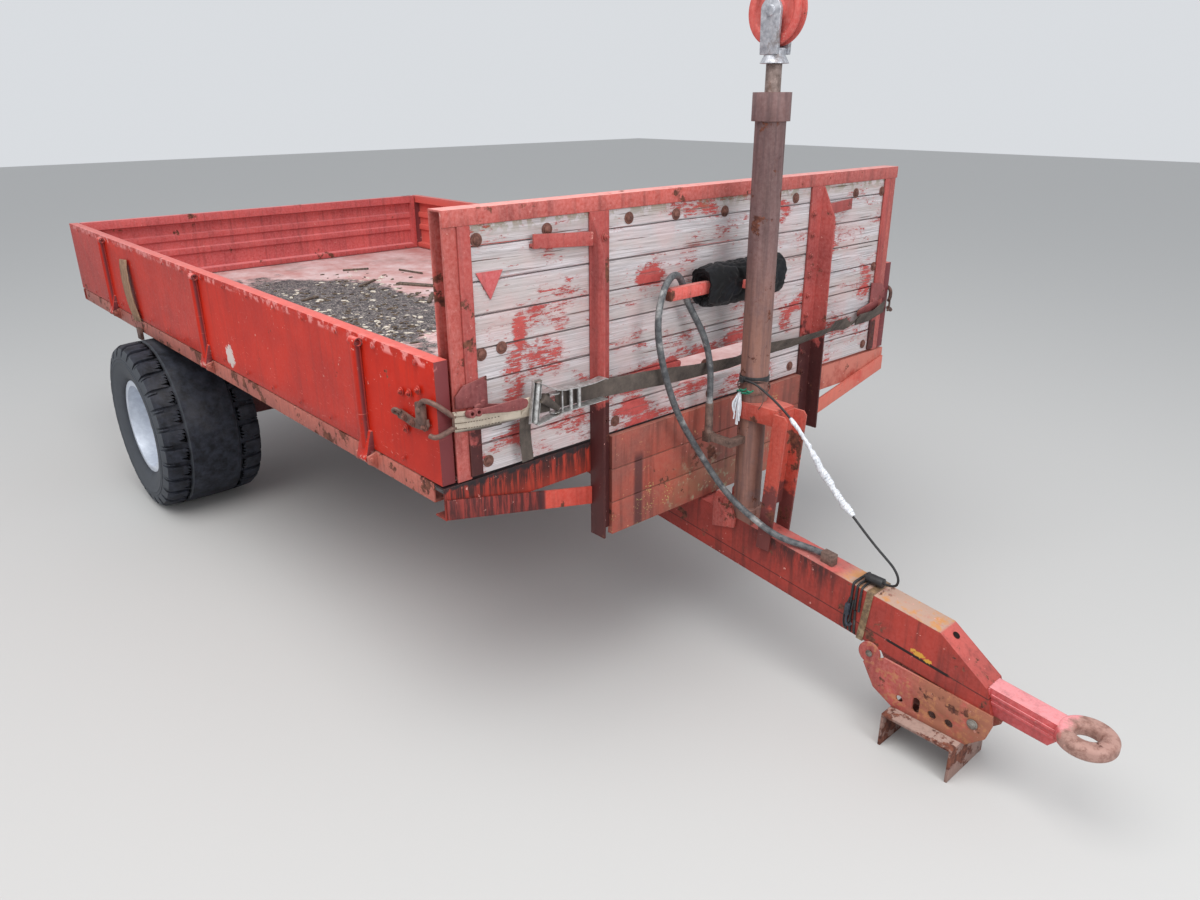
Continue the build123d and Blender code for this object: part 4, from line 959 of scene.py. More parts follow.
def webbing(name):
    # Woven strap: off-white to the right of the ratchet, grey beyond it
    newMaterial(name)
    waves = {"Vector": objectCoords(), "Scale": 170, "Distortion": 1.2}
    wave = addNode("ShaderNodeTexWave", waves, bands_direction="Z")
    ribs = addNode("ShaderNodeTexWave", {"Vector": objectCoords(), "Scale": 260}, bands_direction="Y")
    dirt = noise(14, detail=8, rough=0.7)
    grey = coat(remap(dirt, 0.35, 0.65), rgb(74, 66, 62), rgb(116, 104, 96))
    pale = coat(remap(dirt, 0.4, 0.7), rgb(228, 214, 196), rgb(184, 166, 148))
    end = either(remap(alongAxis("Y"), -0.86, -0.84), remap(alongAxis("Z"), 1.098, 1.090))
    colour = coat(end, pale, grey)
    weave = maths("ADD", wave.outputs["Fac"], ribs.outputs["Fac"])
    colour = coat(remap(weave, 0.2, 1.6, 0.25, 0.0), colour, rgb(50, 46, 42))
    return dressShader(colour, 0.9, bumps(weave, 0.0007, 0.8))


strapGrey = webbing("strapGrey")


def blackFabric(name):
    newMaterial(name)
    weave = noise(600, detail=3)
    dust = noise(12, detail=7, rough=0.7)
    colour = coat(remap(dust, 0.42, 0.68), rgb(2, 3, 6), rgb(14, 17, 25))
    return dressShader(colour, 0.6, bumps(weave, 0.0006, 0.6), specular=0.25, sheen=0.08)


coverBlack = blackFabric("coverBlack")


def plainFibre(name, dark, light, scale=90):
    newMaterial(name)
    strands = noise(1, stretch=(scale * 3, scale * 3, scale * 0.4), detail=5, rough=0.7)
    colour = coat(remap(strands, 0.35, 0.65), rgb(*dark), rgb(*light))
    return dressShader(colour, 0.9, bumps(strands, 0.001, 0.7), specular=0.2)


clothWhite = plainFibre("clothWhite", (178, 182, 190), (234, 236, 240))
twineGreen = plainFibre("twineGreen", (26, 86, 70), (60, 142, 112))
flapTan = plainFibre("flapTan", (112, 84, 66), (172, 140, 116), 60)
# Painted shade for the inside of the nose's drain hole
holeShadeDark = plainFibre("holeShadeDark", (14, 10, 10), (34, 24, 24), 60)
crumbDark = plainFibre("crumbDark", (44, 38, 34), (128, 112, 96), 20)
chipPale = plainFibre("chipPale", (176, 164, 146), (232, 226, 216), 30)
stickGrey = plainFibre("stickGrey", (70, 62, 58), (126, 112, 100), 30)
reflectorPink = agedPaint(
    "reflectorPink", (196, 82, 84), (176, 60, 64), (222, 150, 148), seed=3.3, rust=0.68, edge=0.008, edgeWear=0.5
)
print("materials made")

# Every node with its finish; larger forms are replaced further down

finishes = {
    "chassis_rails": frameRed,
    "chassis_crossmembers": frameRed,
    "drawbar": drawbarRed,
    "tow_eye": tongueRed,
    "drawbar_side_plates": plateRed,
    "parking_foot": rustedPlate,
    "axle": darkRed,
    "tip_shaft": rustedPlate,
    "bed_bearers": frameRed,
    "bed_side_rails": railRust,
    "bed_end_beams": beamRed,
    "bed_crossmembers": frameRed,
    "bed_floor": floorWorn,
    "headboard_frame": postRed,
    "headboard_planks": plankGrey,
    "headboard_uprights": uprightRed,
    "lower_panel_boards": panelRed,
    "front_braces": braceRed,
    "front_reflector": reflectorPink,
    "corner_latches": latchMaroon,
    "side_board_right": boardRed,
    "side_board_left": boardRed,
    "tailgate": gateRed,
    "side_hinges": railRust,
    "tailgate_hinges": railRust,
    "mast_barrel": mastBrown,
    "ram_rod": bareSteel,
    "sheave_head": castZinc,
    "sheave": pinkRed,
    "mast_prop": propRed,
    "hose_rest": pinkRed,
    "rolled_cover": coverBlack,
    "lashing_strap": strapGrey,
    "strap_ratchet": bareSteel,
    "cable_ends": cableBlack,
    "hose_fittings": fittingBrown,
    "drawbar_tie": tieBrown,
    "rim_right": rimSilver,
    "rim_left": rimSilver,
    "hub_right": hubDull,
    "hub_left": hubDull,
    "tyre_right": tyreBlack,
    "tyre_left": tyreBlack,
}
remodelled = ["tyre_right", "tyre_left", "headboard_planks", "lashing_strap", "strap_ratchet", "rolled_cover"]
for nodeName, material in finishes.items():
    if nodeName not in remodelled:
        dressNode(nodeName, material)
print("nodes dressed")

# Free cords


def addCord(name, points, diameter, material, body, node):
    curve = bpy.data.curves.new(name, "CURVE")
    curve.dimensions = "3D"
    curve.bevel_depth = diameter / 2
    curve.bevel_resolution = 5
    curve.resolution_u = 8
    spline = curve.splines.new("NURBS")
    spline.points.add(len(points) - 1)
    for point, spot in zip(spline.points, points):
        point.co = (*place(*spot), 1)
    spline.order_u = 3
    spline.use_endpoint_u = True
    piece = bpy.data.objects.new(name, curve)
    bpy.context.scene.collection.objects.link(piece)
    piece.data.materials.append(material)
    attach(piece, body)
    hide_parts(node)
    return piece


hosePoints = [
    (0.090, -0.112, 0.970),
    (0.090, -0.112, 1.030),
    (0.088, -0.114, 1.095),
    (0.084, -0.126, 1.160),
    (0.076, -0.148, 1.222),
    (0.066, -0.180, 1.280),
    (0.056, -0.210, 1.335),
    (0.054, -0.226, 1.388),
    (0.062, -0.258, 1.422),
    (0.078, -0.300, 1.428),
    (0.092, -0.344, 1.408),
    (0.099, -0.374, 1.358),
    (0.102, -0.386, 1.298),
    (0.102, -0.380, 1.232),
    (0.101, -0.360, 1.160),
    (0.100, -0.334, 1.088),
    (0.099, -0.302, 1.015),
    (0.099, -0.262, 0.940),
    (0.100, -0.212, 0.866),
    (0.103, -0.156, 0.786),
    (0.116, -0.108, 0.710),
    (0.156, -0.084, 0.650),
    (0.214, -0.077, 0.612),
    (0.276, -0.076, 0.588),
    (0.338, -0.074, 0.566),
    (0.392, -0.058, 0.546),
    (0.440, -0.024, 0.530),
    (0.486, -0.012, 0.526),
    (0.530, -0.012, 0.526),
]
cablePoints = [
    (0.187, -0.055, 1.062),
    (0.226, -0.055, 1.062),
    (0.268, -0.048, 1.040),
    (0.308, -0.039, 1.013),
    (0.346, -0.030, 0.982),
    (0.384, -0.022, 0.946),
    (0.420, -0.014, 0.904),
    (0.454, -0.006, 0.856),
    (0.490, 0.000, 0.806),
    (0.530, 0.004, 0.762),
    (0.576, 0.006, 0.718),
    (0.624, 0.005, 0.680),
    (0.670, 0.000, 0.648),
    (0.712, -0.006, 0.622),
    (0.752, -0.009, 0.598),
    (0.788, -0.008, 0.572),
    (0.806, -0.005, 0.536),
    (0.790, 0.000, 0.502),
    (0.752, 0.000, 0.502),
]


def makeTape():
    # White cloth tape wound unevenly on the cable
    points = []
    for index in range(41):
        share = 4.5 + 6.3 * index / 40
        low = int(share)
        before, after = (Vector(cablePoints[low]), Vector(cablePoints[low + 1]))
        points.append(place(*(before + (after - before) * (share - low))))
    tape = bentRod("cableTape", points, 0.0086, 6)
    start, end = points[0], points[-1]
    for vertex in tape.data.vertices:
        share = (start.z - vertex.co.z) / (start.z - end.z)
        nearest = min(points, key=lambda spot: (spot - vertex.co).length)
        aside = vertex.co - nearest
        # Thick where it is bunched, thin where it is drawn tight
        bunch = min(1.0, max(0.0, (share - 0.33) / 0.12)) * min(1.0, max(0.0, (1.0 - share) / 0.06))
        size = max(0.76, 0.80 + 0.30 * wander.noise(Vector((share * 9, 3, 1))) + 0.55 * bunch)
        vertex.co = nearest + aside * size
        spot = vertex.co * 70
        shake = Vector((wander.noise(spot), wander.noise(spot + Vector((9, 0, 0))), wander.noise(spot + Vector((0, 9, 0)))))
        vertex.co += shake * 0.0035
    return finishPiece(tape, "chassis", clothWhite)


cableTape = makeTape()
hose = addCord(
    "hydraulicHose", hosePoints, 0.022, hoseGreyAndSheen, "chassis", "hydraulic_hose"
)
cable = addCord(
    "lightCable", cablePoints, 0.008, cableBlack, "chassis", "light_cable",
)
print("cords made")

# Tyres with shoulder lugs

tyreLook = {
    "steps": 168,
    "section": [  # half of the outline: out from the middle plane, then the radius
        (0.0, 0.4200), (0.060, 0.4193), (0.112, 0.4176), (0.119, 0.4065), (0.165, 0.4020), (0.204, 0.3955),
        (0.223, 0.3840), (0.232, 0.3670), (0.2362, 0.3520), (0.2385, 0.3500), (0.2385, 0.3465), (
            0.2370, 0.3445
        ),
        (0.2375, 0.3360), (0.2388, 0.3345), (0.2388, 0.3320), (0.2374, 0.3300), (0.2362, 0.3100), (
            0.2310, 0.2850
        ),
        (0.2215, 0.2600), (0.2140, 0.2430), (0.2060, 0.2360), (0.1970, 0.2350), (0.1970, 0.2150),
    ],
    "lug": [
        (0.126, 0.400), (0.126, 0.4174), (0.165, 0.4154), (0.2045, 0.4120), (0.2255, 0.3980), (
            0.2350, 0.3700
        ),
        (0.2350, 0.3560), (0.215, 0.372), (0.190, 0.388),
    ],
    "rib": [
        (0.190, 0.390), (0.190, 0.4045), (0.214, 0.4000), (0.229, 0.3860), (0.229, 0.372), (0.210, 0.380)
    ],
    "lugCount": 28,
    "lugWidth": 0.066,
    "ribWidth": 0.011,
    "innerRound": 0.018,
    "easing": 0.0035,
}


def makeTyre(nodeName):
    low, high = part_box(nodeName)
    centre = (low + high) / 2
    look = tyreLook

    def at(across, radius):
        return (centre.x, centre.y + across, centre.z + radius)

    half = look["section"]
    outline = [at(-across, radius) for across, radius in reversed(half)]
    outline += [at(across, radius) for across, radius in half[1:]]
    carcass = lathe("carcass", outline, centre, (0, 1, 0), look["steps"])
    pitch = math.tau / look["lugCount"]
    pieces = [carcass]
    for shoulder in (-1, 1):
        crownRadius = look["lug"][1][1]
        lug = sector(
            "lug", [at(shoulder * across, radius) for across, radius in look["lug"]], centre, (0, 1, 0),
            look["lugWidth"] / crownRadius, 4,
        )
        inner = look["lug"][0][0]
        roundEdges(
            lug, look["innerRound"], 4,
            lambda a, b: abs(a.z - b.z) > 0.01 and all(
                abs(abs(p.y - centre.y) - inner) < 0.001 for p in (a, b)
            ),
        )
        bevelEdges(lug, look["easing"], 2, 40)
        rib = sector(
            "rib", [at(shoulder * across, radius) for across, radius in look["rib"]], centre, (0, 1, 0),
            look["ribWidth"] / crownRadius, 1,
        )
        bevelEdges(rib, 0.002, 1, 40)
        # The lugs of one shoulder stand beside the gaps of the other
        first = 0 if shoulder > 0 else pitch / 2
        lugTurns = [turned(centre, (0, 1, 0), first + index * pitch) for index in range(look["lugCount"])]
        ribTurns = [
            turned(centre, (0, 1, 0), first + (index + 0.5) * pitch) for index in range(look["lugCount"])
        ]
        pieces.append(copiesAt("lugs", lug, lugTurns))
        pieces.append(copiesAt("ribs", rib, ribTurns))
    tyre = joinPieces(nodeName + "Worn", pieces)
    smoothPiece(tyre, 32)
    return finishPiece(tyre, bodyOfNode[nodeName], tyreBlack, [nodeName])


makeTyre("tyre_right")
makeTyre("tyre_left")


def makeWheelNuts(side, name, body):
    # Six nuts round the hub, and the valve with its cap on the rim's outer side
    low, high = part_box("rim_" + name)
    hubLow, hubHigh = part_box("hub_" + name)
    centre = (low + high) / 2
    face = centre.y + side * wheelLook["discFace"]
    spots = []
    for index in range(6):
        angle = math.tau * index / 6 + 0.26
        aside = Vector((math.cos(angle), 0, math.sin(angle))) * wheelLook["nutCircle"]
        spots.append(pointing(Vector((centre.x, face, centre.z)) + aside, (0, side, 0), angle))
    nuts = copiesAt("nuts", hexBolt("wheelNut", 0.0145, 0.013, 0.019, 0.009), spots)
    reach = wheelLook["valveCircle"]
    foot = Vector((centre.x + reach * 0.6, face, centre.z + reach * 0.8))
    stem = addRod("stem", foot, foot + Vector((0, side * 0.034, 0)), 0.0042, 16, 0.0006)
    cap = addRod(
        "cap", foot + Vector((0, side * 0.030, 0)), foot + Vector((0, side * 0.042, 0)), 0.0055, 16, 0.0012
    )
    wheel = joinPieces("wheelNuts" + name.capitalize(), [nuts, stem, cap])
    smoothPiece(wheel, 35)
    finishPiece(wheel, body, hubDull)


wheelLook = {"discFace": 0.098, "nutCircle": 0.092, "valveCircle": 0.150}
makeWheelNuts(-1, "right", "wheel_right")
makeWheelNuts(1, "left", "wheel_left")
print("tyres made")

# Weathered planks of the headboard

plankLook = {
    "count": 8,
    "gap": 0.003,
    "brokenRow": 1,
    "hole": (-0.165, 0.190),  # where that plank has broken away
    "cutsPerMetre": 70,
    "rows": 8,
    "furrow": 0.0022,
    "waver": 0.0022,
    "splinter": 0.016,
}


def makePlank(low, high, brokenEnds, seed):
    look = plankLook
    piece = addBlock("plank", low, high)
    length = high.y - low.y
    divideEdges(piece, round(length * look["cutsPerMetre"]), lambda a, b: abs(a.y - b.y) > length / 2)
    divideEdges(piece, look["rows"], lambda a, b: abs(a.z - b.z) > (high.z - low.z) / 2)
    for vertex in piece.data.vertices:
        spot = vertex.co.copy()
        ridge = wander.noise(Vector((spot.y * 3.5 + seed, spot.z * 160, seed)))
        hollow = wander.noise(Vector((spot.y * 2.0, spot.z * 14, seed + 5)))
        if spot.x > (low.x + high.x) / 2:
            vertex.co.x -= look["furrow"] * (0.5 + 0.5 * ridge) + 0.001 * (0.5 + 0.5 * hollow)
        else:
            vertex.co.x += look["furrow"] * (0.5 + 0.5 * ridge)
        edgeDrift = look["waver"] * (0.5 + 0.5 * wander.noise(Vector((spot.y * 7, seed, spot.z * 3))))
        if spot.z > high.z - 0.0001:
            vertex.co.z -= edgeDrift
        if spot.z < low.z + 0.0001:
            vertex.co.z += edgeDrift
        for end in brokenEnds:
            if abs(spot.y - end) < 0.0001:
                vertex.co.y += look["splinter"] * wander.noise(Vector((spot.z * 55, end * 9, seed)))
    bevelEdges(piece, 0.0016, 1, 50)
    return smoothPiece(piece, 40)


def makePlanks():
    low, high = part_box("headboard_planks")
    look = plankLook
    pitch = (high.z - low.z + look["gap"]) / look["count"]
    made = []
    for row in range(look["count"]):
        foot = low.z + row * pitch
        top = foot + pitch - look["gap"]
        spans = [(low.y, high.y, ())]
        if row == look["brokenRow"]:
            spans = [
                (low.y, look["hole"][0], (look["hole"][0],)), (look["hole"][1], high.y, (look["hole"][1],))
            ]
        for start, end, broken in spans:
            made.append(
                makePlank(Vector((low.x, start, foot)), Vector((high.x, end, top)), broken, row * 3.7 + start)
            )
    planks = joinPieces("weatheredPlanks", made)
    return finishPiece(planks, "bed", plankGrey, ["headboard_planks"])


makePlanks()

# Bolt heads through the planks, at (y, z)
plankBoltSpots = [
    (-0.971, 1.596), (-0.732, 1.601), (-0.415, 1.605), (-0.209, 1.599), (0.027, 1.589), (0.415, 1.603),
    (0.798, 1.594), (0.983, 1.589), (-0.970, 0.966), (-0.470, 0.967), (-0.012, 0.962), (0.455, 0.968),
    (0.962, 0.965), (-0.975, 1.285), (0.980, 1.290), (-0.905, 1.292), (0.300, 1.300), (-0.045, 1.075),
]
boltModel = domeBolt("plankBolt", 0.0115, 0.0095, 0.0185)
plankBolts = copiesAt(
    "plankBolts", boltModel, [pointing(place(-0.001, y, z), (1, 0, 0), y * 7) for y, z in plankBoltSpots]
)
finishPiece(plankBolts, "bed", boltRust)

# Nuts up the foot flange of the left upright, and a pair at the head of the right one
nutSpots = [(0.0075, 0.520, 0.860 + 0.0755 * step) for step in range(10)]
nutSpots += [(0.0075, -0.520, 1.560), (0.0075, -0.520, 0.985)]
nutModel = hexBolt("uprightNut", 0.0105, 0.0085, 0.015, 0.006)
uprightNuts = copiesAt(
    "uprightNuts", nutModel, [pointing(place(x, y, z), (1, 0, 0), z * 31) for x, y, z in nutSpots]
)
finishPiece(uprightNuts, "bed", uprightRed)
print("planks and bolts made")

# Lashing strap with its ratchet and hooks

strapLook = {
    "wall": 0.0026,
    "width": 0.056,
    "low": 1.0975,
    "far": [  # y, then reach and height of the band's lower edge and of its upper edge
        (-0.775, 0.0710, 1.0975, 0.0710, 1.1535),
        (-0.660, 0.0685, 1.0965, 0.0685, 1.1525),
        (-0.570, 0.0675, 1.0900, 0.0675, 1.1460),
        (-0.425, 0.0665, 1.0810, 0.0665, 1.1370),
        (-0.327, 0.0660, 1.0730, 0.0665, 1.1290),
        (-0.170, 0.0490, 1.0590, 0.0665, 1.1120),
        (0.042, 0.0390, 1.0500, 0.0665, 1.0980),
        (0.234, 0.0446, 1.0635, 0.0665, 1.1150),
        (0.390, 0.0440, 1.0640, 0.0760, 1.1090),
        (0.485, 0.0665, 1.0810, 0.1000, 1.1200),
        (0.560, 0.0665, 1.0840, 0.1000, 1.1225),
        (0.640, 0.0420, 1.0796, 0.0680, 1.1290),
        (0.790, 0.0310, 1.0715, 0.0550, 1.1220),
        (0.950, 0.0200, 1.0680, 0.0400, 1.1180),
        (1.062, 0.0200, 1.0900, 0.0260, 1.1440),
    ],
    "twist": (0.70, 0.84),
    "near": [
        (0.0215, -1.094, -0.004), (0.0240, -1.06, -0.008), (0.0300, -1.01, -0.011), (0.0390, -0.95, -0.011),
        (0.0520, -0.89, -0.006), (0.0680, -0.845, 0.0), (0.0745, -0.80, 0.0),
    ],
    "sewn": 4,  # rows of the near end that lie three deep
    "tail": [
        (0.066, -0.868, 1.118), (0.058, -0.868, 1.104), (0.047, -0.867, 1.080), (0.0405, -0.865, 1.040),
        (0.039, -0.862, 1.000), (0.041, -0.859, 0.965), (0.040, -0.858, 0.948),
    ],
}


def strapEdges(rows, y):
    for first, second in zip(rows, rows[1:]):
        if y <= second[0]:
            share = max(0.0, (y - first[0]) / (second[0] - first[0]))
            return [before + share * (after - before) for before, after in zip(first[1:], second[1:])]
    return rows[-1][1:]


def strapBand(name, rows):
    # Made flat and upright, then each place is laid between its two edges
    wide = strapLook["width"]
    piece = ribbon(name, [(0, row[0], 0) for row in rows], (0, 0, wide), strapLook["wall"])
    divideEdges(piece, 5, lambda a, b: abs(a.y - b.y) > 0.02 and abs(a.z - b.z) < 0.004)
    for vertex in piece.data.vertices:
        share = vertex.co.z / wide
        lowReach, low, topReach, top = strapEdges(rows, vertex.co.y)
        reach = lowReach + share * (topReach - lowReach) + vertex.co.x
        vertex.co = place(reach, vertex.co.y, low + share * (top - low))
    return piece


def uprightRows(rows):
    low = strapLook["low"]
    return [(y, reach, low + rise, reach, low + rise + strapLook["width"]) for reach, y, rise in rows]


def twistBand(piece, start, end, axisOf):
    # Half a turn about the band's own line, between two places along y
    for vertex in piece.data.vertices:
        share = (vertex.co.y - start) / (end - start)
        if 0 <= share <= 1:
            turn = math.pi * (3 * share**2 - 2 * share**3)
            centre = axisOf(vertex.co.y)
            aside = vertex.co - centre
            x = aside.x * math.cos(turn) - aside.z * math.sin(turn) * 0.35
            z = aside.x * math.sin(turn) + aside.z * math.cos(turn)
            vertex.co.x = centre.x + x
            vertex.co.z = centre.z + z


def strapLine(y):
    lowReach, low, topReach, top = strapEdges(strapLook["far"], y)
    return place((lowReach + topReach) / 2, y, (low + top) / 2)


def makeStrap():
    far = strapBand("far", strapLook["far"])
    twistBand(far, *strapLook["twist"], strapLine)
    near = strapBand("near", uprightRows(strapLook["near"]))
    # The sewn loop lies double, and three deep towards the hook
    second = copyPiece(near, Matrix.Translation((0.0036, 0, 0.0015)))
    sewn = [(reach + 0.0072, y, rise - 0.001) for reach, y, rise in strapLook["near"][: strapLook["sewn"]]]
    third = strapBand("third", uprightRows(sewn))
    tail = ribbon("tail", [place(*spot) for spot in strapLook["tail"]], (0.002, -0.022, 0), strapLook["wall"])
    tailTwin = ribbon(
        "tailTwin", [place(*spot) for spot in strapLook["tail"]], (-0.002, 0.022, 0), strapLook["wall"]
    )
    strap = joinPieces("lashingBand", [far, near, second, third, tail, tailTwin])
    bevelEdges(strap, 0.0007, 1, 50)
    smoothPiece(strap, 45)
    finishPiece(strap, "bed", strapGrey, ["lashing_strap"])
    # Dark stitches in three rows along the loop
    stitch = addBlock("stitch", (-0.0008, -0.0026, -0.0009), (0.0008, 0.0026, 0.0009), 0.0003, 1)
    spots = []
    for (x0, y0, r0), (x1, y1, r1) in zip(strapLook["near"][: strapLook["sewn"]], strapLook["near"][1:]):
        for index in range(6):
            share = index / 6
            for height in (0.009, 0.026, 0.045):
                spot = (x0 + share * (x1 - x0) + 0.0098, y0 + share * (y1 - y0), strapLook["low"] + r0 + share * (r1 - r0))
                if spot[1] < strapLook["near"][strapLook["sewn"] - 1][1]:
                    spots.append(Matrix.Translation(place(spot[0], spot[1], spot[2] + height)))
    stitches = copiesAt("loopStitches", stitch, spots)
    finishPiece(stitches, "bed", crumbDark)


makeStrap()

ratchetLook = {
    "reach": 0.0700,
    "depth": 0.033,
    "wall": 0.0026,
    "upperArm": [
        (-0.859, 1.2010), (-0.838, 1.1930), (-0.815, 1.1790), (-0.790, 1.1660), (-0.760, 1.1590), (
            -0.700, 1.1560
        ),
        (-0.640, 1.1570), (-0.604, 1.1620), (-0.592, 1.1580),
    ],
    "lowerArm": [
        (-0.862, 1.0760), (-0.840, 1.0800), (-0.815, 1.0860), (-0.785, 1.0910), (-0.740, 1.0930), (
            -0.640, 1.0940
        ),
        (-0.592, 1.0950),
    ],
    "spindles": ((-0.760, 0.003), (-0.727, 0.0058), (-0.696, 0.0062)),
    "lean": 0.14,
    "gearRadius": 0.0165,
}


def makeRatchet():
    look = ratchetLook
    parts = []
    for arm in ("upperArm", "lowerArm"):
        points = [place(look["reach"], y, z) for y, z in look[arm]]
        parts.append(ribbon(arm, points, (look["depth"], 0, 0), look["wall"]))
    # Handle: a folded plate standing across the right end
    handle = addBlock("handle", place(0.0735, -0.868, 1.0765), place(0.0765, -0.838, 1.2025), 0.0010)
    parts.append(handle)
    for side in (-0.868, -0.840):
        parts.append(
            addBlock("lip", place(0.0735, side, 1.0785), place(0.0855, side + 0.0022, 1.2005), 0.0008)
        )
    parts.append(
        addRod("grip", place(0.0870, -0.853, 1.0790), place(0.0870, -0.853, 1.2000), 0.0065, 20, 0.001)
    )
    for part in parts[2:]:
        for vertex in part.data.vertices:
            vertex.co.y += look["lean"] * (vertex.co.z - 1.14)
    middle = look["reach"] + look["depth"] / 2
    for y, radius in look["spindles"]:
        parts.append(addRod("spindle", place(middle, y, 1.0915), place(middle, y, 1.1590), radius, 20))
    # Toothed wheels at both ends of the winding spindle
    teeth = 12
    rimPoints = []
    for index in range(teeth):
        angle = math.tau * index / teeth
        for turn, radius in (
            (0.0, look["gearRadius"]), (0.30, look["gearRadius"] * 0.97), (0.34, look["gearRadius"] * 0.78)
        ):
            spot = (middle + radius * math.cos(angle + turn), -0.790 + radius * math.sin(angle + turn))
            rimPoints.append(place(spot[0], spot[1], 1.0955))
    wheel = drawPlate("toothedWheel", rimPoints, (0, 0, 0.0022))
    parts.append(copyPiece(wheel, Matrix.Translation((0, 0, 0.0570))))
    parts.append(wheel)
    ratchet = joinPieces("strapRatchetBright", parts)
    bevelEdges(ratchet, 0.0005, 1, 60)
    smoothPiece(ratchet, 40)
    return finishPiece(ratchet, "bed", brightZinc, ["strap_ratchet"])


makeRatchet()
# The webbing's loose end is folded into a slanting roll at the spindle
winding = addRod(
    "strapWinding", place(0.0880, -0.836, 1.1500), place(0.0880, -0.778, 1.1040), 0.0155, 28, 0.002, 0.0085
)
smoothPiece(winding, 40)
finishPiece(winding, "bed", strapGrey)

hookLook = {
    "radius": 0.0075,
    "upper": [
        (0.024, -1.088, 1.136), (0.023, -1.096, 1.140), (0.018, -1.110, 1.154), (0.006, -1.128, 1.172),
        (-0.016, -1.142, 1.182), (-0.040, -1.146, 1.180), (-0.058, -1.144, 1.168), (-0.066, -1.142, 1.150),
    ],
    "lower": [
        (0.024, -1.088, 1.106), (0.023, -1.096, 1.104), (0.021, -1.112, 1.097), (0.015, -1.132, 1.088),
        (0.004, -1.146, 1.083), (-0.010, -1.150, 1.087),
    ],
    "ball": (-0.067, -1.142, 1.146),
}


def makeHooks():
    bows = []
    for side, body, name in ((1, "board_right", "strapHookRight"), (-1, "board_left", "strapHookLeft")):
        # The right side's pair holds the board, and its mirror image the left board
        parts = []
        for part in ("upper", "lower"):
            spots = [place(x, side * y, z) for x, y, z in hookLook[part]]
            parts.append(bentRod(part, spots, hookLook["radius"]))
        x, y, z = hookLook["ball"]
        clearSelection()
        bpy.ops.mesh.primitive_uv_sphere_add(
            segments=20, ring_count=12, radius=0.0125, location=place(x, side * y, z)
        )
        knob = settle(bpy.context.object, "knob")
        smoothPiece(knob, 80)
        parts.append(knob)
        finishPiece(joinPieces(name, parts), body, hookBrown)
        # Wire bow that holds the webbing's loop
        bow = [
            (0.026, -1.084, 1.094), (0.026, -1.092, 1.098), (0.026, -1.096, 1.120), (0.026, -1.092, 1.144),
            (0.026, -1.084, 1.148),
        ]
        bows.append(bentRod("bow", [place(a, side * b, c) for a, b, c in bow], 0.0042))
    return finishPiece(joinPieces("strapBows", bows), "bed", hookBrown)


makeHooks()


def makeLatchHandle():
    # Forged handle of the right corner latch, lying over the strap, with its two eyes
    outline = [
        (-1.028, 1.136), (-1.022, 1.150), (-0.980, 1.153), (-0.930, 1.158), (-0.896, 1.160), (-0.880, 1.153),
        (-0.876, 1.142), (-0.882, 1.130), (-0.900, 1.124), (-0.940, 1.126), (-0.985, 1.132), (-1.022, 1.134),
    ]
    blade = drawPlate("handleBlade", [place(0.0565, y, z) for y, z in outline], (0.0055, 0, 0))
    bevelEdges(blade, 0.0024, 3, 40)
    for vertex in blade.data.vertices:
        vertex.co.x += 0.16 * max(0.0, vertex.co.y + 0.985) - 0.012 * max(0.0, -0.985 - vertex.co.y) / 0.04
    parts = [blade]
    for y in (-1.052, -1.030):
        profile = [
            (0.0055, 0.0), (0.0105, 0.0), (0.0115, 0.0012), (0.0115, 0.0218), (0.0105, 0.023), (0.0055, 0.023)
        ]
        ring = lathe(
            "eye", [place(0.0460 + radius, y, 1.130 + rise) for radius, rise in profile], place(
                0.0460, y, 1.140
            ),
            (0, 0, 1), 24,
        )
        ring.data.transform(
            Matrix.Translation(place(0.046, y, 1.1415)) @ Matrix.Rotation(math.radians(78), 4, "Y")
            @ Matrix.Translation(-place(0.046, y, 1.1415))
        )
        parts.append(ring)
    handle = joinPieces("latchHandle", parts)
    smoothPiece(handle, 40)
    return finishPiece(handle, "bed", latchMaroon)


makeLatchHandle()
print("strap made")

# Rolled cover: a sleeve of black cloth bunched round the rest

coverLook = {
    "sides": 72,
    "rings": 64,
    "halfDepth": 0.0525,
    "halfHeight": 0.0750,
    "cut": 0.045,  # its left end stops short of the node's, as in the picture
    "squareness": 2.5,
    "mouth": [(0.90, 0.012), (0.78, 0.004), (0.70, 0.022), (0.60, 0.010), (0.46, 0.034)],  # share of the size, way in
}


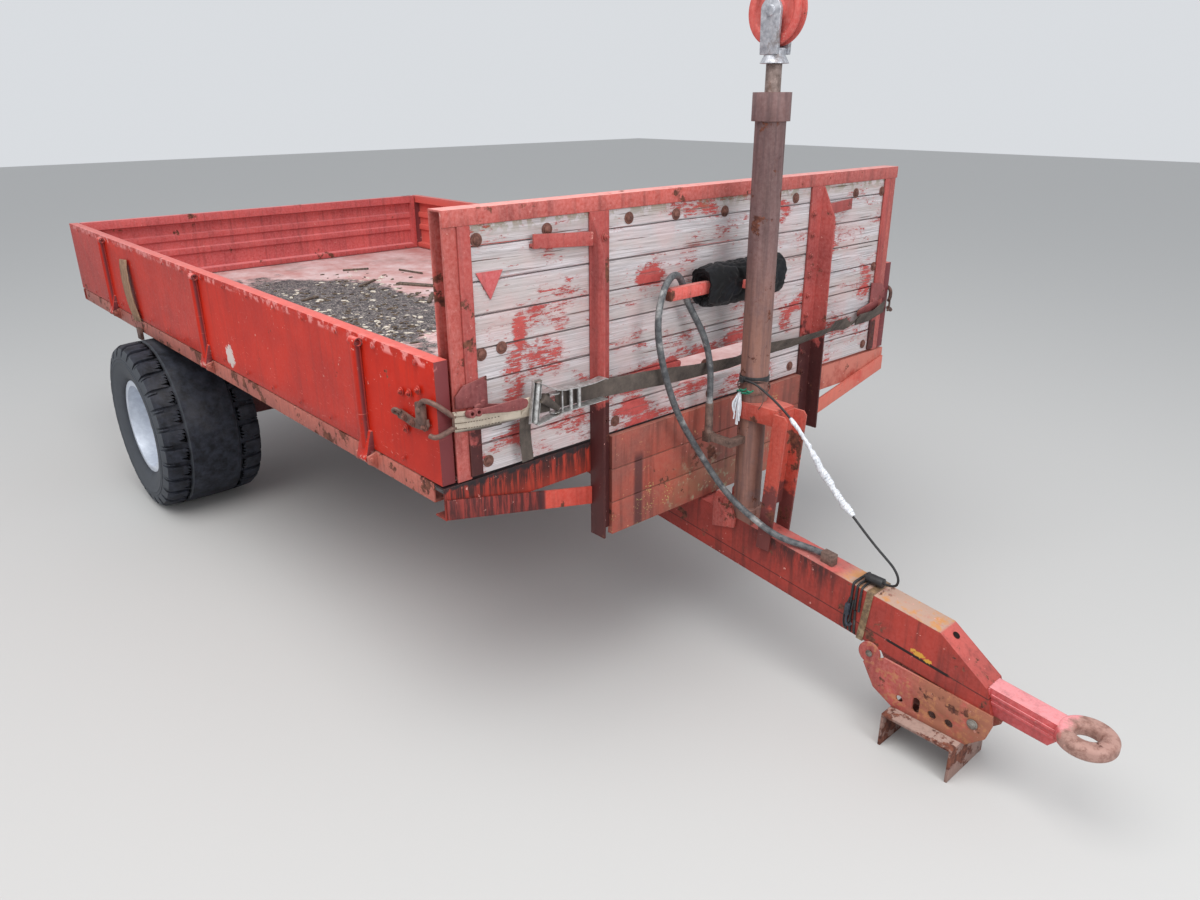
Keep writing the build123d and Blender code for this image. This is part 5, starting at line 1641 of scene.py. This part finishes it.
def makeCover():
    low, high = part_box("rolled_cover")
    look = coverLook
    high.y -= look["cut"]
    centre = (low + high) / 2
    clearSelection()
    bpy.ops.mesh.primitive_cylinder_add(
        vertices=look["sides"], radius=1, depth=high.y - low.y, location=(0, 0, 0), end_fill_type="NOTHING",
        rotation=(math.pi / 2, 0, 0),
    )
    cover = settle(bpy.context.object, "rolledSleeve")
    span = high.y - low.y
    divideEdges(cover, look["rings"], lambda a, b: abs(a.y - b.y) > span / 2)
    for end in (-1, 1):
        pick(cover)
        bpy.ops.object.mode_set(mode="EDIT")
        bpy.ops.mesh.select_mode(type="EDGE")
        bpy.ops.mesh.select_all(action="DESELECT")
        bpy.ops.object.mode_set(mode="OBJECT")
        for edge in cover.data.edges:
            edge.select = all(
                abs(cover.data.vertices[index].co.y - end * span / 2) < 0.0001 for index in edge.vertices
            )
        bpy.ops.object.mode_set(mode="EDIT")
        previous, depth = 1.0, 0.0
        for share, way in look["mouth"]:
            bpy.ops.mesh.extrude_region_move(TRANSFORM_OT_translate={"value": (0, end * (depth - way), 0)})
            bpy.ops.transform.resize(
                value=(share / previous, 1, share / previous), center_override=(0, end * (span / 2 - way), 0)
            )
            previous, depth = share, way
        bpy.ops.mesh.edge_face_add()
        bpy.ops.object.mode_set(mode="OBJECT")
    outwards(cover)
    for vertex in cover.data.vertices:
        spot = vertex.co.copy()
        reach = math.hypot(spot.x, spot.z)
        angle = math.atan2(spot.z, spot.x)
        along = spot.y / span + 0.5
        power = look["squareness"]
        form = (abs(math.cos(angle)) ** power + abs(math.sin(angle)) ** power) ** (-1 / power)
        # Long spiral folds, small creases and a slacker right-hand end
        fold = wander.noise(
            Vector((math.cos(angle) * 1.4 + along * 2.2, math.sin(angle) * 1.4 - along * 2.6, along * 4))
        )
        crease = 1 - abs(
            wander.noise(Vector((math.cos(angle) * 3 + along * 5, math.sin(angle) * 3, along * 9 + 4)))
        )
        seam = math.exp(-((math.remainder(angle - 1.9 - along * 1.1, math.tau) / 0.10) ** 2))
        taper = 1 - 0.16 * max(0.0, along - 0.55) ** 1.5 - 0.10 * math.exp(-((along / 0.10) ** 2))
        radius = reach * form * taper * (
            0.97 - 0.06 * abs(fold) - 0.10 * max(0.0, crease - 0.82) / 0.18 - 0.035 * seam
        )
        sag = -0.004 * math.sin(math.pi * along)
        vertex.co.x = centre.x + look["halfDepth"] * radius * math.cos(angle)
        vertex.co.z = centre.z + look["halfHeight"] * radius * math.sin(angle) + sag
        vertex.co.y = centre.y + spot.y + (0.010 * wander.noise(Vector((math.cos(angle) * 2, math.sin(angle) * 2, along * 2))) if reach > 0.5 else 0)
    roundOff(cover, 1)
    finishPiece(cover, "chassis", coverBlack, ["rolled_cover"])
    return cover


makeCover()
print("rolled cover made")

# Small things on the mast and the drawbar


def twineLoop(name, centre, radius, thickness, tilt, turns=1.0):
    # A wire or twine drawn round the mast, a little askew
    points = []
    steps = round(12 * turns)
    for index in range(steps + 1):
        angle = math.tau * index / 12
        drift = 1 + 0.05 * wander.noise(Vector((angle, tilt * 40, 0)))
        points.append(
            (
                centre.x + radius * drift * math.cos(angle),
                centre.y + radius * drift * math.sin(angle),
                centre.z + tilt * math.cos(angle + 0.8) + 0.006 * index / steps,
            )
        )
    return bentRod(name, points, thickness, 3)


def makeMastTies():
    centre = place(0.187, 0, 1.028)
    wires = [twineLoop("wire", centre, 0.0560, 0.0018, 0.028), twineLoop("wireToo", centre, 0.0555, 0.0018, -0.020, 2)]
    ends = [
        (0.236, -0.034, 1.036), (0.262, -0.040, 1.020), (0.268, -0.052, 0.992), (0.258, -0.060, 0.976),
    ]
    wires.append(bentRod("wireEnd", [place(*spot) for spot in ends], 0.0016, 3))
    wires = joinPieces("mastWires", wires)
    finishPiece(wires, "chassis", hookBrown)
    # A tuft of frayed white twine with its green knot
    randomiser = random.Random(7)
    strands = []
    root = place(0.178, -0.058, 1.020)
    for index in range(16):
        spread = Vector((randomiser.uniform(-0.020, 0.014), randomiser.uniform(-0.016, 0.004), 0))
        fall = randomiser.uniform(0.060, 0.115)
        points = [
            root + Vector((0, 0, 0.004)),
            root + spread * 0.5 + Vector((0, -0.006, -fall * 0.25)),
            root + spread * randomiser.uniform(0.7, 1.3) + Vector((0, -0.008, -fall * 0.6)),
            root + spread * randomiser.uniform(0.5, 1.4) + Vector((0, -0.006, -fall)),
        ]
        strands.append(bentRod("strand", points, randomiser.uniform(0.0018, 0.0034), 2))
    tuft = joinPieces("twineTuft", strands)
    finishPiece(tuft, "chassis", clothWhite)
    knots = []
    for index in range(5):
        start = root + Vector((0.010 * index - 0.012, -0.004, 0.006 * math.sin(index * 2)))
        points = [start, start + Vector((0.010, -0.010, 0.009)), start + Vector((0.020, -0.002, 0.001)), start + Vector((0.026, 0.004, 0.010))]
        knots.append(bentRod("knot", points, 0.0028, 3))
    knot = joinPieces("twineKnot", knots)
    finishPiece(knot, "chassis", twineGreen)


makeMastTies()

tieLook = {"reaches": (0.662, 0.678, 0.694), "radius": 0.0042, "clear": 0.0052}


def drawbarHeights(reach):
    # Upper and lower edge of the drawbar's side at a reach
    top = 0.565 - 0.116 * reach
    return top, top - 0.170


def makeDrawbarTie():
    # Black cord wound three times round the drawbar, with a drooping loop on the near side
    parts = []
    half = 0.0475 + tieLook["clear"]
    for index, reach in enumerate(tieLook["reaches"]):
        top, low = drawbarHeights(reach)
        top += tieLook["clear"]
        low -= tieLook["clear"]
        corners = [
            (reach, -half, (top + low) / 2), (reach + 0.002, -half, low + 0.012), (
                reach + 0.004, -half + 0.006, low
            ),
            (reach + 0.004, 0, low), (reach + 0.004, half - 0.006, low), (reach + 0.005, half, low + 0.012),
            (reach + 0.008, half, (top + low) / 2), (reach + 0.010, half, top - 0.012), (
                reach + 0.012, half - 0.006, top
            ),
            (reach + 0.013, 0, top), (reach + 0.014, -half + 0.006, top), (reach + 0.014, -half, top - 0.012),
            (reach + 0.013, -half - 0.001, (top + low) / 2),
        ]
        parts.append(bentRod("turn", [place(*spot) for spot in corners], tieLook["radius"], 3))
    loop = [
        (0.672, -0.056, 0.440), (0.664, -0.062, 0.400), (0.660, -0.064, 0.360), (0.667, -0.064, 0.325),
        (0.680, -0.063, 0.345), (0.684, -0.060, 0.400), (0.686, -0.056, 0.435),
    ]
    parts.append(bentRod("loop", [place(*spot) for spot in loop], 0.0028, 3))
    cord = joinPieces("drawbarCord", parts)
    finishPiece(cord, "chassis", cableBlack)
    # Dark hook that hangs in the cord on the near side
    block = addBlock("tieHook", place(0.664, -0.0715, 0.378), place(0.680, -0.0575, 0.422), 0.004)
    claw = bentRod(
        "claw", [place(0.672, -0.0645, 0.380), place(0.670, -0.066, 0.352), place(0.682, -0.066, 0.340), place(0.692, -0.066, 0.354)],
        0.0045, 3,
    )
    hook = joinPieces("tieHook", [block, claw])
    finishPiece(hook, "chassis", hookBlue)


makeDrawbarTie()

# Rivets and brackets on the drop sides, and a band on the right one


def makeSideFittings():
    low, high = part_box("side_board_right")
    face = -1.1322
    # Rusty hasp where the strap's hook catches: a bar, its hooked end and an eye, with their bolts
    outline = [
        (-0.210, 1.098), (-0.204, 1.112), (-0.186, 1.117), (-0.120, 1.108), (-0.060, 1.113), (-0.038, 1.124),
        (-0.034, 1.104), (-0.050, 1.086), (-0.110, 1.080), (-0.176, 1.086), (-0.200, 1.086),
    ]
    bar = drawPlate("haspBar", [place(x, face, z) for x, z in outline], (0, -0.007, 0))
    bevelEdges(bar, 0.0015, 2, 40)
    lug = addBlock("haspLug", place(-0.088, face - 0.015, 1.104), place(-0.046, face, 1.166), 0.004)
    curl = [
        (-0.196, face - 0.006, 1.100), (-0.206, face - 0.016, 1.104), (-0.200, face - 0.022, 1.116),
        (-0.184, face - 0.018, 1.122), (-0.176, face - 0.010, 1.112),
    ]
    eye = bentRod("haspEye", [place(*spot) for spot in curl], 0.0055, 3)
    hasp = joinPieces("haspPlate", [bar, lug, eye])
    smoothPiece(hasp, 40)
    finishPiece(hasp, "board_right", hookBrown)
    for name, material, spots in (
        ("haspBolts", boltRust, [(-0.160, 1.100), (-0.118, 1.094), (-0.054, 1.098)]),
        ("paintedBolts", boardRed, [(-0.180, 1.170), (-0.134, 1.176), (-0.170, 1.060), (-0.085, 1.196)]),
    ):
        stand = 0.007 if name == "haspBolts" else 0.0
        heads = copiesAt(
            name, hexBolt("haspBolt", 0.0085, 0.0075, 0.013, 0.004),
            [pointing(place(x, face - stand, z), (0, -1, 0), x * 50) for x, z in spots],
        )
        finishPiece(heads, "board_right", material)
    # Rivets along the foot and the top of both drop sides
    for side, body in ((-1, "board_right"), (1, "board_left")):
        model = domeBolt("rivet", 0.0055, 0.0035, 0.0075)
        reaches = [low.x - bedFront + 0.10 + 0.235 * index for index in range(16)]
        places = []
        for index, reach in enumerate(reaches):
            places.append(
                pointing(place(reach, side * 1.1322, 0.957 + 0.004 * math.sin(index * 5)), (0, side, 0))
            )
            places.append(pointing(place(reach + 0.11, side * 1.1322, 1.272), (0, side, 0)))
        rivets = copiesAt("rivets" + ("Right" if side < 0 else "Left"), model, places)
        finishPiece(rivets, body, boardRed)


makeSideFittings()


def makeBoardStrap():
    # A weathered band bowed out from the right side near its rear, and the clip that it hangs from on the rail
    band = [
        (-2.862, -1.1390, 1.212), (-2.860, -1.1450, 1.175), (-2.852, -1.1490, 1.115), (
            -2.840, -1.1500, 1.055
        ),
        (-2.826, -1.1480, 0.995), (-2.812, -1.1430, 0.945), (-2.806, -1.1395, 0.915),
    ]
    strip = ribbon("sideBand", [place(*spot) for spot in band], (0.100, 0.005, 0.008), 0.004)
    bevelEdges(strip, 0.0014, 1, 50)
    smoothPiece(strip, 45)
    finishPiece(strip, "board_right", flapTan)
    clip = addBlock("railClip", place(-2.790, -1.1440, 0.828), place(-2.735, -1.1290, 0.884), 0.002)
    finishPiece(clip, "bed", hookBrown)


makeBoardStrap()

# Ridges of the towing tongue, bolt heads in the hitch plates and a dark disc of painted shade for the drain hole of
# the nose


def makeNoseDetails():
    ridge = [
        (1.152, 0.3190), (1.336, 0.3005), (1.340, 0.2960), (1.336, 0.2900), (1.152, 0.3080), (1.148, 0.3135)
    ]
    parts = []
    for side in (-1, 1):
        for drop, depth in ((0.0, 0.0045), (0.024, 0.003)):
            points = [place(x, side * 0.0325, z - drop) for x, z in ridge]
            parts.append(drawPlate("ridge", points, (0, side * depth, 0)))
    ridges = joinPieces("tongueRidges", parts)
    bevelEdges(ridges, 0.0014, 2, 40)
    smoothPiece(ridges, 40)
    finishPiece(ridges, "chassis", tongueRed)
    spots = [(1.122, 0.205, 0.0125), (0.763, 0.272, 0.0085)]
    heads = []
    for x, z, radius in spots:
        for side in (-1, 1):
            head = hexBolt("head", radius, 0.006, radius * 1.35, 0.003)
            head.data.transform(pointing(place(x, side * 0.0570, z), (0, side, 0), 0.4))
            heads.append(head)
    heads = joinPieces("hitchBolts", heads)
    finishPiece(heads, "chassis", hubDull)
    # Weld beads where the tongue enters the nose
    beads = []
    for side in (-1, 1):
        run = [
            (1.142 + 0.0006 * index, side * (0.0345 + 0.0008 * math.sin(index * 2.3)), 0.334 - 0.0078 * index)
            for index in range(11)
        ]
        beads.append(bentRod("bead", [place(*spot) for spot in run], 0.0042, 3))
    beads = joinPieces("noseWelds", beads)
    finishPiece(beads, "chassis", tongueRed)
    # Painted shade: a shallow near-black disc stands for the drain hole, its colour the shade inside the hole
    hole = lathe(
        "noseHoleShade",
        [(0, 0, -0.0004), (0.0085, 0, -0.0002), (0.0105, 0, 0.0010), (0.0115, 0, 0.0006), (0.0118, 0, -0.0008)],
        (0, 0, 0), (0, 0, 1), 28, closed=False,
    )
    slope = Vector((0.4485 - 0.337, 0, 1.140 - 0.977)).normalized()
    turn = slope.to_track_quat("Z", "Y").to_matrix().to_4x4()
    hole.data.transform(Matrix.Translation(place(1.006, 0.004, 0.4332)) @ turn)
    smoothPiece(hole, 30)
    finishPiece(hole, "chassis", holeShadeDark)


makeNoseDetails()

# Dirt and chips on the bed floor

debrisLook = {
    "seed": 21,
    "patches": [(-2.3, -0.35, 0.85, 0.40), (-1.8, -0.30, 0.45, 0.25), (-2.6, 0.10, 0.60, 0.35)],
    "sticks": [  # reach, y, turn, length and width
        (-2.56, 0.33, 0.5, 0.26, 0.040), (-2.80, 0.14, 2.2, 0.20, 0.018), (-2.20, 0.20, 2.5, 0.24, 0.022),
        (-2.95, 0.52, 0.2, 0.22, 0.008), (-2.62, -0.30, 1.9, 0.12, 0.014), (-3.25, 0.30, 1.2, 0.16, 0.010),
    ],
}


def lumpModels(count):
    models = []
    for index in range(count):
        clearSelection()
        bpy.ops.mesh.primitive_ico_sphere_add(subdivisions=1, radius=1)
        chip = settle(bpy.context.object, "chip")
        for vertex in chip.data.vertices:
            vertex.co *= 1 + 0.35 * wander.noise(vertex.co * 1.7 + Vector((index * 9, 0, 0)))
        models.append(chip)
    return models


def scatterChips(name, count, longest, randomiser, models, material):
    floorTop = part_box("bed_floor")[1].z
    chips = []
    for index in range(count):
        x, y, wide, deep = randomiser.choice(debrisLook["patches"])
        reach = min(-0.12, max(-3.6, x + randomiser.gauss(0, wide / 2)))
        across = min(1.0, max(-1.0, y + randomiser.gauss(0, deep / 2)))
        long = randomiser.uniform(0.25 * longest, longest)
        size = Vector((long, long * randomiser.uniform(0.3, 0.7), randomiser.uniform(0.0015, 0.005)))
        turn = Matrix.Rotation(randomiser.uniform(0, math.tau), 4, "Z") @ Matrix.Diagonal((*size, 1))
        spot = Matrix.Translation(place(reach, across, floorTop + size.z * 0.5))
        chips.append(copyPiece(randomiser.choice(models), spot @ turn))
    return finishPiece(joinPieces(name, chips), "bed", material)


def makeDebris():
    randomiser = random.Random(debrisLook["seed"])
    models = lumpModels(4)
    scatterChips("floorDebris", 260, 0.024, randomiser, models, crumbDark)
    scatterChips("floorChips", 120, 0.030, randomiser, models, chipPale)
    for model in models:
        bpy.data.objects.remove(model)
    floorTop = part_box("bed_floor")[1].z
    sticks = []
    for reach, y, turn, length, wide in debrisLook["sticks"]:
        stick = addBlock("stick", (-length / 2, -wide / 2, -0.006), (length / 2, wide / 2, 0.006), 0.003, 1)
        for vertex in stick.data.vertices:
            vertex.co.y *= 1 + 0.4 * wander.noise(Vector((vertex.co.x * 30, reach, 0)))
        stick.data.transform(
            Matrix.Translation(place(reach, y, floorTop + 0.006)) @ Matrix.Rotation(turn, 4, "Z")
        )
        sticks.append(stick)
    finishPiece(joinPieces("floorSticks", sticks), "bed", stickGrey)


makeDebris()
print("small pieces made")
